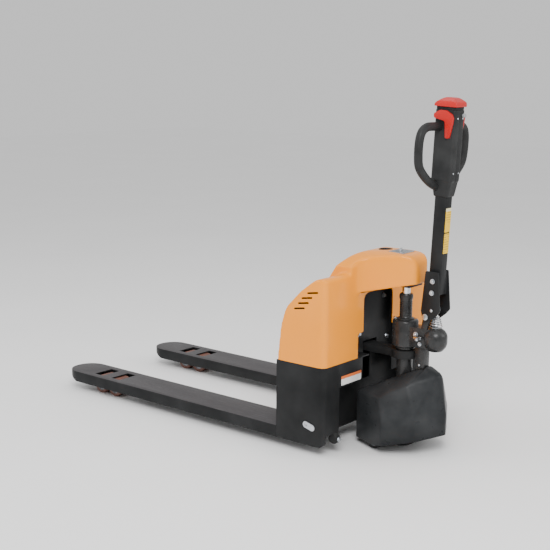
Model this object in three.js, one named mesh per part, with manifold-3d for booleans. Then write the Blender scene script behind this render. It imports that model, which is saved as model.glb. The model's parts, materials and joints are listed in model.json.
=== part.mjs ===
// Semi-electric pallet truck, lowered, tiller upright.
// Millimetres, +X toward the fork tips, +Y to the operator's left hand side of the forks, +Z up.
// Every piece is laid out from the heel of the forks (x = 0); the whole truck is then centred.

import * as THREE from "three";
import { mergeVertices } from "three/addons/utils/BufferGeometryUtils.js";
import { ConvexGeometry } from "three/addons/geometries/ConvexGeometry.js";
import Module from "manifold-3d";

const wasm = await Module();
wasm.setup();

// ---------------------------------------------------------------- driving dimensions
const OVERALL_WIDTH = 685;
const FORK_LENGTH = 1220;
const FORK_WIDTH = 160;
const FORK_PLATE = 5;
const FLANGE_DEPTH = 46;        // depth of the fork channel
const NOSE_LENGTH = 75;
const LIFT_STROKE = 115;

const ROLLER_D = 78;
const ROLLER_W = 72;
const ROLLER_HEADROOM = 2;      // roller to the underside of the fork plate
const ROLLER_SPACE = 7;         // between the two treads of one bogie
const LINK_PLATE = 6;           // bogie and load arm side plates
const PLATE_GAP = 3;            // roller face to bogie plate
const BOGIE_SETBACK = 234.5;    // fork tip to bogie pivot
const ARM_REACH = 170.5;        // arm pin to bogie pivot
const ARM_PIN_RISE = 7;         // arm pin above the bogie pivot
const ARM_PIN_R = 8;
const ROD_PIN_R = 4;
const ROD_CRANK = 24;           // arm pin to rod pin
const ROCKER_LEVER = 100;
const ROCKER_BACK = 26;         // rocker shaft, behind the heel

const BODY_DEPTH = 221;         // heel to the rear face of the casing
const CASING_HEIGHT = 341;      // black lower casing
const SHEET = 5;                // chassis sheet
const CORNER = 20;              // bend radius of the casing's rear corners
const COLUMN_WIDTH = 100;       // rear flange of each side casing
const SHELF = 6;
const LIP_CLEARANCE = 45;       // shelf lip above the deck of the drive cover
const RECESS_DEPTH = 66;        // how far the bulkhead stands in front of the rear face
const PANEL_DEPTH = 36;         // tower panel in front of the rear face

const STEER_BACK = 345;         // steering axis, behind the heel
const DRIVE_COVER_REACH = 190;  // steering axis to the rear of its skirt
const DRIVE_COVER_HALF = 169;
const DRIVE_COVER_NOSE = 146;
const DRIVE_COVER_WALL = 4;
const DRIVE_WHEEL_D = 200;
const DRIVE_WHEEL_W = 68;
const TYRE_THICKNESS = 22;
const STABILISER_D = 60;
const STABILISER_W = 24;
const STABILISER_OUT = 108;

const YOKE_RISE = 170;          // skirt deck to the top of the thrust yoke
const YOKE_DEPTH = 30;
const YOKE_HALF = 28;
const YOKE_SLOT = 45;           // half-width of the passages left for the yoke
const PUMP_TANK_D = 98;
const TANK_LENGTH = 103;
const SLEEVE_D = 48;
const SLEEVE_LENGTH = 76;
const GLAND_HEIGHT = 22;
const RAM_D = 30;
const RAM_PROUD = 30;
const RAM_LENGTH = 216;
const NECK_D = 60;
const PLUNGER_BACK = 478;
const TILT_BACK = 453;
const TILT_RISE = 29;           // tilt pin above the pump tank
const TILT_PIN_R = 8;
const CAM_R = 12;
const SPRING_TURNS = 4.5;

const COVER_WALL = 4;
const BRACKET = 34;             // depth of the beam over the ram
const HUMP_RISE = 130;          // ram head to the top of the cover
const SHOULDER_DROP = 78;
const HUMP_TAIL = 412;          // rear end of the hump, behind the heel
const HUMP_FRONT_HALF = 181;
const HUMP_ROOT_HALF = 130;     // where its sides meet the rear face
const HUMP_TAIL_HALF = 42;
const HUMP_FILLET = 60;
const CROWN_R = 341;
const CONSOLE_SINK = 14;        // console below the crown of the hump
const ARCH_HALF = 97;
const ARCH_FOOT_HALF = 130;
const ARCH_STEP_RISE = 93;
const ARCH_DROP = 32;           // top of the arch below the ram head

const TILLER_LEAN = 2.7;        // degrees rearwards
const TILLER_BACK = 470;
const TUBE_DEPTH = 50;
const TUBE_WIDTH = 45;
const TUBE_WALL = 4;
const NECK_RISE = 444;          // tilt pin to the neck of the head
const HEAD_LENGTH = 354;
const HEAD_DEPTH = 88;
const HEAD_WIDTH = 64;
const CAP_DEPTH = 42;
const GRIP_SPAN = 340;
const GRIP_D = 34;
const HORN_PROUD = 9;

const GAP = 0.3;                // clearance between pieces that touch
const RUN = 0.4;                // clearance round a turning or sliding pin
const ROUND = 28;               // facets of a full turn

// ---------------------------------------------------------------- derived places
const FORK_TOP = ROLLER_D + ROLLER_HEADROOM + FORK_PLATE;
const FLANGE_BOTTOM = FORK_TOP - FLANGE_DEPTH;
const BOGIE_X = FORK_LENGTH - BOGIE_SETBACK;
const ROLLER_PITCH = ROLLER_D + ROLLER_SPACE;
const BOGIE_FACE = ROLLER_W / 2 + PLATE_GAP;
const ARM_FACE = BOGIE_FACE + LINK_PLATE + 1;
const WINDOW_HALF = ROLLER_W / 2 + 12;
const WINDOW_LENGTH = 50;
const WINDOW_SHIFT = 20;        // the rear window stands a little behind its roller
const SKIRT_DECK = DRIVE_WHEEL_D + 5;
const YOKE_TOP = SKIRT_DECK + YOKE_RISE;
const PUMP_BOTTOM = YOKE_TOP + 12;
const PUMP_TOP = PUMP_BOTTOM + TANK_LENGTH;
const SLEEVE_TOP = PUMP_TOP + SLEEVE_LENGTH;
const GLAND_TOP = SLEEVE_TOP + GLAND_HEIGHT;
const RAM_TOP = GLAND_TOP + RAM_PROUD;
const HUMP_HEIGHT = RAM_TOP + HUMP_RISE;
const SHOULDER_HEIGHT = HUMP_HEIGHT - SHOULDER_DROP;
const ARCH_STEP = CASING_HEIGHT + ARCH_STEP_RISE;
const ARCH_TOP = RAM_TOP - ARCH_DROP;
const TILT_Z = PUMP_TOP + TILT_RISE;
const PLUNGER_TOP = TILT_Z + 15;
const LEAN = THREE.MathUtils.degToRad(TILLER_LEAN);
const TILLER_ORIGIN = [-TILLER_BACK, 0, TILT_Z + 1];
const NECK_V = NECK_RISE - 1;
const TOP_V = (NECK_V + HEAD_LENGTH) / Math.cos(LEAN);
const CAP_V = TOP_V - CAP_DEPTH;
const HORN_V = CAP_V - 20;
const REAR_REACH = TILLER_BACK + HORN_V * Math.sin(LEAN)
  + (HEAD_DEPTH / 2 + HORN_PROUD) * Math.cos(LEAN);
const CENTRE_SHIFT = (REAR_REACH - FORK_LENGTH) / 2;
const HALF = OVERALL_WIDTH / 2;
const FORK_Y = (OVERALL_WIDTH - FORK_WIDTH) / 2;
const ROLLER_Z = ROLLER_D / 2;
const STEER_X = -STEER_BACK;
const BULKHEAD_X = -BODY_DEPTH + RECESS_DEPTH;
const COLUMN_Y = HALF - COLUMN_WIDTH;
const ARM_PIN_X = BOGIE_X - ARM_REACH;
const ARM_PIN_Z = ROLLER_Z + ARM_PIN_RISE;
const ARM_LENGTH = Math.hypot(ARM_REACH, ARM_PIN_Z - ROLLER_Z);
const ARM_LOW = Math.asin((ARM_PIN_Z - ROLLER_Z) / ARM_LENGTH);
const ARM_SWING = Math.asin((ARM_PIN_Z - ROLLER_Z + LIFT_STROKE) / ARM_LENGTH) - ARM_LOW;
const ROD_TRAVEL = 2 * ROD_CRANK * Math.sin(ARM_SWING / 2);
const ROD_PIN_X = ARM_PIN_X - ROD_TRAVEL / 2;
const ROD_PIN_Z = ARM_PIN_Z + ROD_CRANK * Math.cos(ARM_SWING / 2);
const ROD_Z = ROD_PIN_Z + 0.9;
const ROCKER_HALF_SWING = Math.asin(LIFT_STROKE / 2 / ROCKER_LEVER);
const ROCKER_CRANK = ROD_TRAVEL / 2 / Math.sin(ROCKER_HALF_SWING);
const ROCKER_X = -ROCKER_BACK;
const ROCKER_Z = ROD_Z + ROCKER_CRANK * 0.91;
const LEVER_PIN_X = ROCKER_X - ROCKER_LEVER * Math.cos(ROCKER_HALF_SWING);
const LEVER_PIN_Z = ROCKER_Z + LIFT_STROKE / 2;
const YOKE_FRONT = LEVER_PIN_X + 11;
const CRANK_PIN_X = ROCKER_X - ROD_TRAVEL / 2;
const CRANK_PIN_Z = ROCKER_Z - ROCKER_CRANK * Math.cos(ROCKER_HALF_SWING);
const WHEEL_R = DRIVE_WHEEL_D / 2;
const PLUNGER_X = -PLUNGER_BACK;
const TILT_X = -TILT_BACK;

// ---------------------------------------------------------------- finishes
const finishes = {
  chassis: [0x15191c, 0.45, 0.2],
  orange: [0xf7a11c, 0.3, 0],
  blackPlastic: [0x1c2022, 0.55, 0],
  skirt: [0x212629, 0.5, 0],
  zinc: [0xc9ccd0, 0.3, 0.9],
  chrome: [0xe6e8ea, 0.12, 1],
  casting: [0x15181a, 0.5, 0.3],
  red: [0xd93a28, 0.35, 0],
  brownPu: [0x6f3a1d, 0.4, 0],
  grey: [0xb9bcbe, 0.5, 0],
  rubber: [0x17181a, 0.8, 0],
  steel: [0x8d9094, 0.4, 0.9],
  battery: [0x2b2d31, 0.6, 0],
};

// ---------------------------------------------------------------- solid helpers
const truck = new THREE.Group();
truck.position.x = CENTRE_SHIFT;

function solid(geometry) {
  geometry.deleteAttribute("normal");
  geometry.deleteAttribute("uv");
  const merged = mergeVertices(geometry, 1e-4);
  return new wasm.Manifold(new wasm.Mesh({
    numProp: 3,
    vertProperties: Float32Array.from(merged.attributes.position.array),
    triVerts: Uint32Array.from(merged.index.array),
  }));
}

function add(name, shape, finish, parent = truck) {
  const result = shape.getMesh();
  const geometry = new THREE.BufferGeometry();
  geometry.setAttribute("position", new THREE.BufferAttribute(Float32Array.from(result.vertProperties), 3));
  geometry.setIndex(new THREE.BufferAttribute(Uint32Array.from(result.triVerts), 1));
  geometry.computeVertexNormals();
  const [color, roughness, metalness] = finishes[finish];
  const mesh = new THREE.Mesh(geometry, new THREE.MeshStandardMaterial({ color, roughness, metalness }));
  mesh.name = name;
  parent.add(mesh);
  return mesh;
}

const join = (...shapes) => shapes.reduce((sum, shape) => sum.add(shape));
const cut = (shape, ...tools) => tools.reduce((rest, tool) => rest.subtract(tool), shape);

function box(x0, x1, y0, y1, z0, z1) {
  const geometry = new THREE.BoxGeometry(x1 - x0, y1 - y0, z1 - z0);
  geometry.translate((x0 + x1) / 2, (y0 + y1) / 2, (z0 + z1) / 2);
  return solid(geometry);
}

function rod(axis, radius, from, to, a, b, facets = ROUND) {
  const geometry = new THREE.CylinderGeometry(radius, radius, to - from, facets);
  geometry.translate(0, (from + to) / 2, 0);
  if (axis === "x") geometry.rotateZ(-Math.PI / 2).translate(0, a, b);
  if (axis === "y") geometry.translate(a, 0, b);
  if (axis === "z") geometry.rotateX(Math.PI / 2).translate(a, b, 0);
  return solid(geometry);
}

// A lathe turned about a vertical line; profile is [radius, z] from the bottom axis point to the top.
function lathe(profile, x, y, facets = ROUND) {
  const points = profile.map(([r, z]) => new THREE.Vector2(r, z));
  const geometry = new THREE.LatheGeometry(points, facets);
  geometry.rotateX(Math.PI / 2).translate(x, y, 0);
  return solid(geometry);
}

// Corner points [a, b, radius] become an outline with round corners.
function outline(corners, steps = 5) {
  const points = [];
  corners.forEach(([a, b, r = 0], i) => {
    const here = new THREE.Vector2(a, b);
    if (!r) {
      points.push(here);
      return;
    }
    const before = new THREE.Vector2(...corners[(i + corners.length - 1) % corners.length]);
    const after = new THREE.Vector2(...corners[(i + 1) % corners.length]);
    const u = before.sub(here).normalize();
    const v = after.sub(here).normalize();
    const half = Math.acos(THREE.MathUtils.clamp(u.dot(v), -1, 1)) / 2;
    const back = r / Math.tan(half);
    const centre = here.clone().add(u.clone().add(v).normalize().multiplyScalar(r / Math.sin(half)));
    const start = here.clone().addScaledVector(u, back).sub(centre);
    const end = here.clone().addScaledVector(v, back).sub(centre);
    const sweep = Math.atan2(start.x * end.y - start.y * end.x, start.dot(end));
    for (let k = 0; k <= steps; k += 1) {
      points.push(start.clone().rotateAround(new THREE.Vector2(), sweep * k / steps).add(centre));
    }
  });
  return points;
}

function extrude(points, depth) {
  return new THREE.ExtrudeGeometry(new THREE.Shape(points), { depth, bevelEnabled: false, steps: 1 });
}

const slabXY = (points, z0, z1) => solid(extrude(points, z1 - z0).translate(0, 0, z0));
const slabXZ = (points, y0, y1) => solid(extrude(points, y1 - y0).rotateX(Math.PI / 2).translate(0, y1, 0));

function slabYZ(points, x0, x1) {
  const turn = new THREE.Matrix4().makeBasis(
    new THREE.Vector3(0, 1, 0), new THREE.Vector3(0, 0, 1), new THREE.Vector3(1, 0, 0));
  return solid(extrude(points, x1 - x0).applyMatrix4(turn).translate(x0, 0, 0));
}

const hull = (points) => solid(new ConvexGeometry(points.map((p) => new THREE.Vector3(...p))));
const mirrorY = (points) => points.flatMap(([x, y, z]) => (y ? [[x, y, z], [x, -y, z]] : [[x, y, z]]));

// An outline of round ends about two points, in any plane.
function link(a0, b0, r0, a1, b1, r1, steps = 10) {
  const angle = Math.atan2(b1 - b0, a1 - a0);
  const points = [];
  for (let k = 0; k <= steps; k += 1) {
    const t = angle + Math.PI / 2 + Math.PI * k / steps;
    points.push(new THREE.Vector2(a0 + r0 * Math.cos(t), b0 + r0 * Math.sin(t)));
  }
  for (let k = 0; k <= steps; k += 1) {
    const t = angle - Math.PI / 2 + Math.PI * k / steps;
    points.push(new THREE.Vector2(a1 + r1 * Math.cos(t), b1 + r1 * Math.sin(t)));
  }
  return points;
}

const SIDES = [["left", 1], ["right", -1]];
const span = (side, near, far) => (side > 0 ? [near, far] : [-far, -near]);

// ---------------------------------------------------------------- forks and chassis
function forkPlan(inset) {
  const half = FORK_WIDTH / 2 - inset;
  const tip = FORK_LENGTH - inset;
  return outline([
    [GAP, -half], [tip, -half, half - 2], [tip, half, half - 2], [GAP, half]], 12);
}

function fork(side) {
  const noseStart = FORK_LENGTH - NOSE_LENGTH;
  const profile = [
    [GAP, FLANGE_BOTTOM], [noseStart, FLANGE_BOTTOM], [FORK_LENGTH, FLANGE_BOTTOM + 30],
    [FORK_LENGTH, FORK_TOP], [GAP, FORK_TOP]].map(([x, z]) => new THREE.Vector2(x, z));
  const hollow = [
    [-1, 0], [noseStart - 18, 0], [noseStart - 18, FLANGE_BOTTOM + 6],
    [FORK_LENGTH - 22, FORK_TOP - FORK_PLATE - 6], [FORK_LENGTH - 22, FORK_TOP - FORK_PLATE],
    [-1, FORK_TOP - FORK_PLATE]].map(([x, z]) => new THREE.Vector2(x, z));
  const skin = slabXY(forkPlan(0), FLANGE_BOTTOM, FORK_TOP)
    .intersect(slabXZ(profile, -FORK_WIDTH, FORK_WIDTH));
  const inside = slabXZ(hollow, -FORK_WIDTH / 2 + FORK_PLATE, FORK_WIDTH / 2 - FORK_PLATE)
    .intersect(slabXY(forkPlan(FORK_PLATE).map((p) => (p.x < 1 ? p.clone().setX(-1) : p)), 0, FORK_TOP));
  const windows = [BOGIE_X + ROLLER_PITCH / 2, BOGIE_X - ROLLER_PITCH / 2 - WINDOW_SHIFT].map((x) => box(
    x - WINDOW_LENGTH / 2, x + WINDOW_LENGTH / 2, -WINDOW_HALF, WINDOW_HALF,
    FORK_TOP - 2 * FORK_PLATE, FORK_TOP + 1));
  return cut(skin, inside, ...windows).translate([0, side * FORK_Y, 0]);
}

function sideCasing(side) {
  const inner = HALF - SHEET;
  const plan = outline([
    [-GAP, HALF], [-BODY_DEPTH, HALF, CORNER], [-BODY_DEPTH, COLUMN_Y], [BULKHEAD_X - GAP, COLUMN_Y],
    [BULKHEAD_X - GAP, COLUMN_Y + SHEET], [-BODY_DEPTH + SHEET, COLUMN_Y + SHEET],
    [-BODY_DEPTH + SHEET, inner, CORNER - SHEET], [-GAP, inner]].reverse());
  const elevation = outline([
    [0, FLANGE_BOTTOM], [0, CASING_HEIGHT], [-BODY_DEPTH - 1, CASING_HEIGHT],
    [-BODY_DEPTH - 1, FLANGE_BOTTOM, CORNER + 2]].reverse());
  const shape = slabXY(plan, FLANGE_BOTTOM, CASING_HEIGHT)
    .intersect(slabXZ(elevation, 0, HALF + 1));
  const shelfSeat = box(-BODY_DEPTH + SHEET, 0, 0, COLUMN_Y + SHEET + GAP,
    CASING_HEIGHT - SHELF - 2 * GAP, CASING_HEIGHT + 1);
  const lowerRear = box(-BODY_DEPTH - 1, BULKHEAD_X, 0, HALF - CORNER, 0, FLANGE_BOTTOM + 41);
  const whole = cut(shape, lowerRear, shelfSeat);
  return side > 0 ? whole : whole.mirror([0, 1, 0]);
}

function frontPlate() {
  const y = HALF - SHEET - GAP;
  const windows = SIDES.map(([, s]) => box(
    -SHEET - 1, 1, s * FORK_Y - 16, s * FORK_Y + 16, ROD_Z - 14, ROD_Z + 12));
  return cut(box(-SHEET - GAP, -GAP, -y, y, FLANGE_BOTTOM, CASING_HEIGHT - SHELF - GAP), ...windows);
}

function bulkhead() {
  const plate = box(BULKHEAD_X, BULKHEAD_X + SHEET, -COLUMN_Y - SHEET, COLUMN_Y + SHEET, 60,
    CASING_HEIGHT - SHELF - GAP);
  const notchBottom = YOKE_TOP - YOKE_DEPTH - LIFT_STROKE - 8;
  return cut(plate, box(BULKHEAD_X - 1, 0, -YOKE_SLOT, YOKE_SLOT, notchBottom, CASING_HEIGHT));
}

function shelf() {
  const y = HALF - SHEET - GAP;
  const x = -BODY_DEPTH + SHEET + GAP;
  const top = CASING_HEIGHT - GAP;
  const plate = slabXY(outline([[-GAP, -y], [-GAP, y], [x, y, CORNER], [x, -y, CORNER]].reverse()),
    top - SHELF, top);
  const lip = box(-BODY_DEPTH, x + 1, -COLUMN_Y + GAP, COLUMN_Y - GAP, SKIRT_DECK + LIP_CLEARANCE, top);
  const passage = box(-BODY_DEPTH - 1, YOKE_FRONT + 9, -YOKE_SLOT, YOKE_SLOT, 0, CASING_HEIGHT + 1);
  const middle = box(-BODY_DEPTH - 1, x + 2, -ARCH_HALF, ARCH_HALF, 0, CASING_HEIGHT + 1);
  return cut(join(plate, lip), passage, middle);
}

const PANEL_X = -BODY_DEPTH + PANEL_DEPTH;

function towerPanel() {
  const half = ARCH_FOOT_HALF + 6;
  const back = box(PANEL_X, PANEL_X + SHEET, -half, half, CASING_HEIGHT, RAM_TOP + BRACKET);
  const cheeks = SIDES.map(([, s]) => box(
    -BODY_DEPTH + COVER_WALL + 3, PANEL_X + 1, ...span(s, half - SHEET, half), CASING_HEIGHT, ARCH_TOP));
  const passage = box(PANEL_X - 1, 0, -YOKE_SLOT, YOKE_SLOT, 0, YOKE_TOP + 10);
  return cut(join(back, ...cheeks), passage);
}

function headBracket() {
  const beam = box(STEER_X - 40, PANEL_X - GAP, -45, 45, RAM_TOP + GAP, RAM_TOP + BRACKET);
  const relief = box(STEER_X + 35, PANEL_X - 12, -38, 38, RAM_TOP + 8, RAM_TOP + 40);
  const gussets = SIDES.map(([, s]) => slabXZ(
    [[PANEL_X - GAP, RAM_TOP - 40], [PANEL_X - GAP, RAM_TOP + 10], [PANEL_X - 70, RAM_TOP + 10]]
      .map(([x, z]) => new THREE.Vector2(x, z)), ...span(s, 38, 45)));
  return cut(join(beam, ...gussets), relief);
}

// ---------------------------------------------------------------- orange cover and console
function coverProfile(inset) {
  const low = CASING_HEIGHT + GAP - (inset ? 20 : 0);
  const top = SHOULDER_HEIGHT - inset;
  const rear = -BODY_DEPTH + inset;
  return outline([
    [-1 - inset, low], [-7 - inset, CASING_HEIGHT + 56], [-16 - inset, CASING_HEIGHT + 134, 200],
    [-38 - inset, SHOULDER_HEIGHT - 125 - inset, 90], [-108, SHOULDER_HEIGHT - 54 - inset * 1.3, 200],
    [-178, top - 2, 60], [rear, top, 8], [rear, low]], 4);
}

// The hump seen from above: its sides leave the rear face in a wide fillet and taper to the tail.
function humpPlan(inset) {
  const tail = -HUMP_TAIL + inset;
  const side = [
    [-90 - inset, HUMP_FRONT_HALF - inset], [-BODY_DEPTH + inset, HUMP_FRONT_HALF - inset],
    [-BODY_DEPTH + inset, HUMP_ROOT_HALF - inset, HUMP_FILLET + inset], [tail, HUMP_TAIL_HALF - inset, 22]];
  return outline([...side, ...side.map(([x, y, r]) => [x, -y, r]).reverse()], 6);
}

function humpProfile(inset) {
  const top = HUMP_HEIGHT - inset;
  const tail = -HUMP_TAIL - 5;
  return outline([
    [-80, HUMP_HEIGHT - 188 - inset * 6], [tail, HUMP_HEIGHT - 118 - inset * 6], [tail, top - 10, 40],
    [-280, top, 300], [-176 - inset, top - 8, 60], [-100 - inset, HUMP_HEIGHT - 125, 30]].reverse(), 4);
}

function coverBlank(inset) {
  const half = HALF - inset;
  const round = CORNER + 2 - inset;
  const plan = outline([[5, -half], [5, half], [-BODY_DEPTH + inset, half, round],
    [-BODY_DEPTH + inset, -half, round]].reverse());
  const body = slabXZ(coverProfile(inset), -half, half).intersect(slabXY(plan, 0, HUMP_HEIGHT + 1));
  const tail = slabXY(humpPlan(inset), 500, HUMP_HEIGHT + 1)
    .intersect(slabXZ(humpProfile(inset), -HALF, HALF))
    .intersect(rod("x", CROWN_R - inset, -HUMP_TAIL - 10, 0, 0, HUMP_HEIGHT - CROWN_R, 144));
  return join(body, tail);
}

function archTool() {
  const side = outline([
    [ARCH_HALF, ARCH_STEP, 6], [ARCH_HALF, ARCH_TOP, 30], [-ARCH_HALF, ARCH_TOP, 30],
    [-ARCH_HALF, ARCH_STEP, 6], [-ARCH_FOOT_HALF, ARCH_STEP, 6], [-ARCH_FOOT_HALF, 300],
    [ARCH_FOOT_HALF, 300], [ARCH_FOOT_HALF, ARCH_STEP, 6]], 4);
  return slabYZ(side, -BODY_DEPTH - 10, -BODY_DEPTH + 2 * COVER_WALL + 4);
}

// Vent centres: x behind the heel, then the drop below the shoulder.
const VENTS = [[-106, 119], [-124, 97], [-140, 76], [-166, 54]];

function cover() {
  const vents = SIDES.flatMap(([, s]) => VENTS.map(([x, drop]) => box(
    -25, 25, ...span(s, HALF - COVER_WALL - 4, HALF + 2), -2.5, 2.5)
    .rotate([0, 8, 0]).translate([x, 0, SHOULDER_HEIGHT - drop])));
  const seats = [
    rod("z", STOP_R + GAP, HUMP_HEIGHT - 30, HUMP_HEIGHT + 5, STOP_X, 0, 40),
    box(PANEL_LOW, PANEL_HIGH, -PANEL_HALF - GAP, PANEL_HALF + GAP, HUMP_HEIGHT - 30, HUMP_HEIGHT + 5)];
  return cut(coverBlank(0), coverBlank(COVER_WALL), archTool(), ...vents, ...seats);
}

const STOP_X = -248;
const STOP_R = 27;
const STOP_STEM = 9;
const PANEL_LOW = -352;
const PANEL_HIGH = -283;
const PANEL_HALF = 40;
const PANEL_RIM = 3;
const DECK_Z = HUMP_HEIGHT - CONSOLE_SINK;
const RIM_Z = HUMP_HEIGHT - 3;
const CUP_Z = DECK_Z - 14;
const KEY_X = PANEL_HIGH - 18;
const KEY_Y = -22;
const KEY_R = 9;

// A cup let into the top of the hump, so that the mushroom head stands below its rim.
function stopCollar() {
  const cup = rod("z", STOP_R, CUP_Z - 4, RIM_Z, STOP_X, 0, 40);
  return cut(cup, rod("z", STOP_R - 3, CUP_Z, RIM_Z + 1, STOP_X, 0, 40),
    rod("z", STOP_STEM + RUN, CUP_Z - 5, CUP_Z + 1, STOP_X, 0));
}

function stopButton() {
  return lathe([[0, -16], [STOP_STEM, -16], [STOP_STEM, 7], [19, 7], [20, 12], [15, 17], [0, 18]]
    .map(([r, z]) => [r, CUP_Z + z]), STOP_X, 0);
}

function consolePlate() {
  const a = PANEL_LOW + GAP;
  const b = PANEL_HIGH - GAP;
  const plan = outline([[a, -PANEL_HALF, 6], [b, -PANEL_HALF, 6], [b, PANEL_HALF, 6], [a, PANEL_HALF, 6]], 4);
  const tray = box(a + PANEL_RIM, b - PANEL_RIM, PANEL_RIM - PANEL_HALF, PANEL_HALF - PANEL_RIM, DECK_Z, RIM_Z + 1);
  return cut(slabXY(plan, DECK_Z - 5, RIM_Z), tray, rod("z", KEY_R + GAP, 0, 900, KEY_X, KEY_Y),
    box(GAUGE_LOW, GAUGE_HIGH, -GAUGE_HALF, GAUGE_HALF, DECK_Z - 3, DECK_Z + 1));
}

const GAUGE_LOW = PANEL_LOW + 8;
const GAUGE_HIGH = PANEL_LOW + 34;
const GAUGE_HALF = 28;

function gauge() {
  return box(GAUGE_LOW + GAP, GAUGE_HIGH - GAP, -GAUGE_HALF + GAP, GAUGE_HALF - GAP, DECK_Z - 3 + GAP, DECK_Z + 2);
}

function keySwitch() {
  const barrel = rod("z", KEY_R, DECK_Z - 22, DECK_Z + 3, KEY_X, KEY_Y);
  const bow = box(KEY_X - 1, KEY_X + 1, KEY_Y - 8, KEY_Y + 8, DECK_Z + 2, DECK_Z + 18);
  return join(barrel, bow);
}

function battery(side) {
  const [y0, y1] = span(side, 60, HALF - 52);
  const top = SHOULDER_HEIGHT - 170;
  const posts = [0.25, 0.75].map((t) => rod("z", 8, top - 1, top + 12, -88, y0 + (y1 - y0) * t, 16));
  return join(box(-142, -36, y0, y1, CASING_HEIGHT, top), ...posts);
}

function controller() {
  const fins = [0, 1, 2, 3, 4].map((i) => box(
    -86, -72, -44 + 20 * i, -36 + 20 * i, CASING_HEIGHT + 20, CASING_HEIGHT + 130));
  return join(box(-78, -44, -50, 50, CASING_HEIGHT, CASING_HEIGHT + 139), ...fins);
}

// ---------------------------------------------------------------- lift linkage
function rockerShaft() {
  return rod("y", 6, -HALF + SHEET + GAP, HALF - SHEET - GAP, ROCKER_X, ROCKER_Z, 20);
}

function rocker() {
  const end = FORK_Y - 12;
  const tube = rod("y", 12, -end, end, ROCKER_X, ROCKER_Z, 20);
  const lever = slabXZ(link(ROCKER_X, ROCKER_Z, 11, LEVER_PIN_X, LEVER_PIN_Z, 10), -11, 11);
  const pin = rod("y", 5, -24, 24, LEVER_PIN_X, LEVER_PIN_Z, 16);
  const cranks = SIDES.flatMap(([, s]) => [
    slabXZ(link(ROCKER_X, ROCKER_Z, 12, CRANK_PIN_X, CRANK_PIN_Z, 7), ...span(s, end - 10, end)),
    rod("y", 5, ...span(s, end - 5, FORK_Y + 9), CRANK_PIN_X, CRANK_PIN_Z, 16)]);
  return cut(join(tube, lever, pin, ...cranks), rod("y", 6 + RUN, -HALF, HALF, ROCKER_X, ROCKER_Z, 20));
}

function pushRod(side) {
  const start = CRANK_PIN_X + 5 + 2 * GAP;
  const bar = box(start, ROD_PIN_X, -7, 7, ROD_Z - 6.5, ROD_Z + 6.5);
  const eye = rod("y", 8.5, -7, 7, ROD_PIN_X, ROD_Z, 20);
  return cut(join(bar, eye), rod("y", ROD_PIN_R + 2, -8, 8, ROD_PIN_X, ROD_Z, 20))
    .translate([0, side * FORK_Y, 0]);
}

function loadArm(side) {
  const cheeks = SIDES.flatMap(([, s]) => [
    slabXZ(link(ARM_PIN_X, ARM_PIN_Z, 13, BOGIE_X, ROLLER_Z, 13),
      ...span(s, ARM_FACE, ARM_FACE + LINK_PLATE)),
    rod("y", 9, ...span(s, BOGIE_FACE + 1, ARM_FACE + 1), BOGIE_X, ROLLER_Z, 20),
    slabXZ(link(ARM_PIN_X, ARM_PIN_Z, 12, ROD_PIN_X, ROD_PIN_Z, 8), ...span(s, 9, 15))]);
  const tube = rod("y", 13, -ARM_FACE - 1, ARM_FACE + 1, ARM_PIN_X, ARM_PIN_Z, 24);
  const pin = rod("y", ROD_PIN_R, -14, 14, ROD_PIN_X, ROD_PIN_Z, 16);
  return cut(join(tube, pin, ...cheeks), rod("y", ARM_PIN_R + RUN, -60, 60, ARM_PIN_X, ARM_PIN_Z, 24))
    .translate([0, side * FORK_Y, 0]);
}

function armPin(side) {
  const half = FORK_WIDTH / 2 - FORK_PLATE - GAP;
  return rod("y", ARM_PIN_R, -half, half, ARM_PIN_X, ARM_PIN_Z, 20).translate([0, side * FORK_Y, 0]);
}

function bogie(side) {
  const front = BOGIE_X + ROLLER_PITCH / 2;
  const rear = BOGIE_X - ROLLER_PITCH / 2;
  const plates = SIDES.map(([, s]) => slabXZ(
    link(rear, ROLLER_Z, 14, front, ROLLER_Z, 14), ...span(s, BOGIE_FACE, BOGIE_FACE + LINK_PLATE)));
  const axles = [front, rear].map((x) => rod(
    "y", 7, -BOGIE_FACE - PLATE_GAP, BOGIE_FACE + PLATE_GAP, x, ROLLER_Z, 20));
  return cut(join(...plates, ...axles), rod("y", 9 + RUN, -60, 60, BOGIE_X, ROLLER_Z, 20))
    .translate([0, side * FORK_Y, 0]);
}

function roller(side, x) {
  const half = ROLLER_W / 2;
  const tyre = rod("y", ROLLER_D / 2, -half, half, x, ROLLER_Z, 40);
  return cut(tyre, rod("y", 7 + RUN, -60, 60, x, ROLLER_Z, 20)).translate([0, side * FORK_Y, 0]);
}

function thrustYoke() {
  const low = YOKE_TOP - YOKE_DEPTH;
  const ring = rod("z", NECK_D / 2 + 20, low, YOKE_TOP, STEER_X, 0);
  const arm = box(STEER_X + 30, YOKE_FRONT, -YOKE_HALF, YOKE_HALF, low, YOKE_TOP);
  const reach = ROCKER_LEVER * (1 - Math.cos(ROCKER_HALF_SWING));
  const legs = SIDES.map(([, s]) => box(
    LEVER_PIN_X - reach - 11, YOKE_FRONT, ...span(s, 14, 22), LEVER_PIN_Z - 14, low + 1));
  const slot = box(LEVER_PIN_X - reach - 6, LEVER_PIN_X + 6, -30, 30, LEVER_PIN_Z - 7, LEVER_PIN_Z + 7);
  const bore = rod("z", NECK_D / 2 + RUN, low - 1, YOKE_TOP + 1, STEER_X, 0);
  return cut(join(ring, arm, ...legs), slot, bore);
}

// ---------------------------------------------------------------- pump and drive unit
const VALVE_Z = PUMP_BOTTOM + 49;

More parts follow.
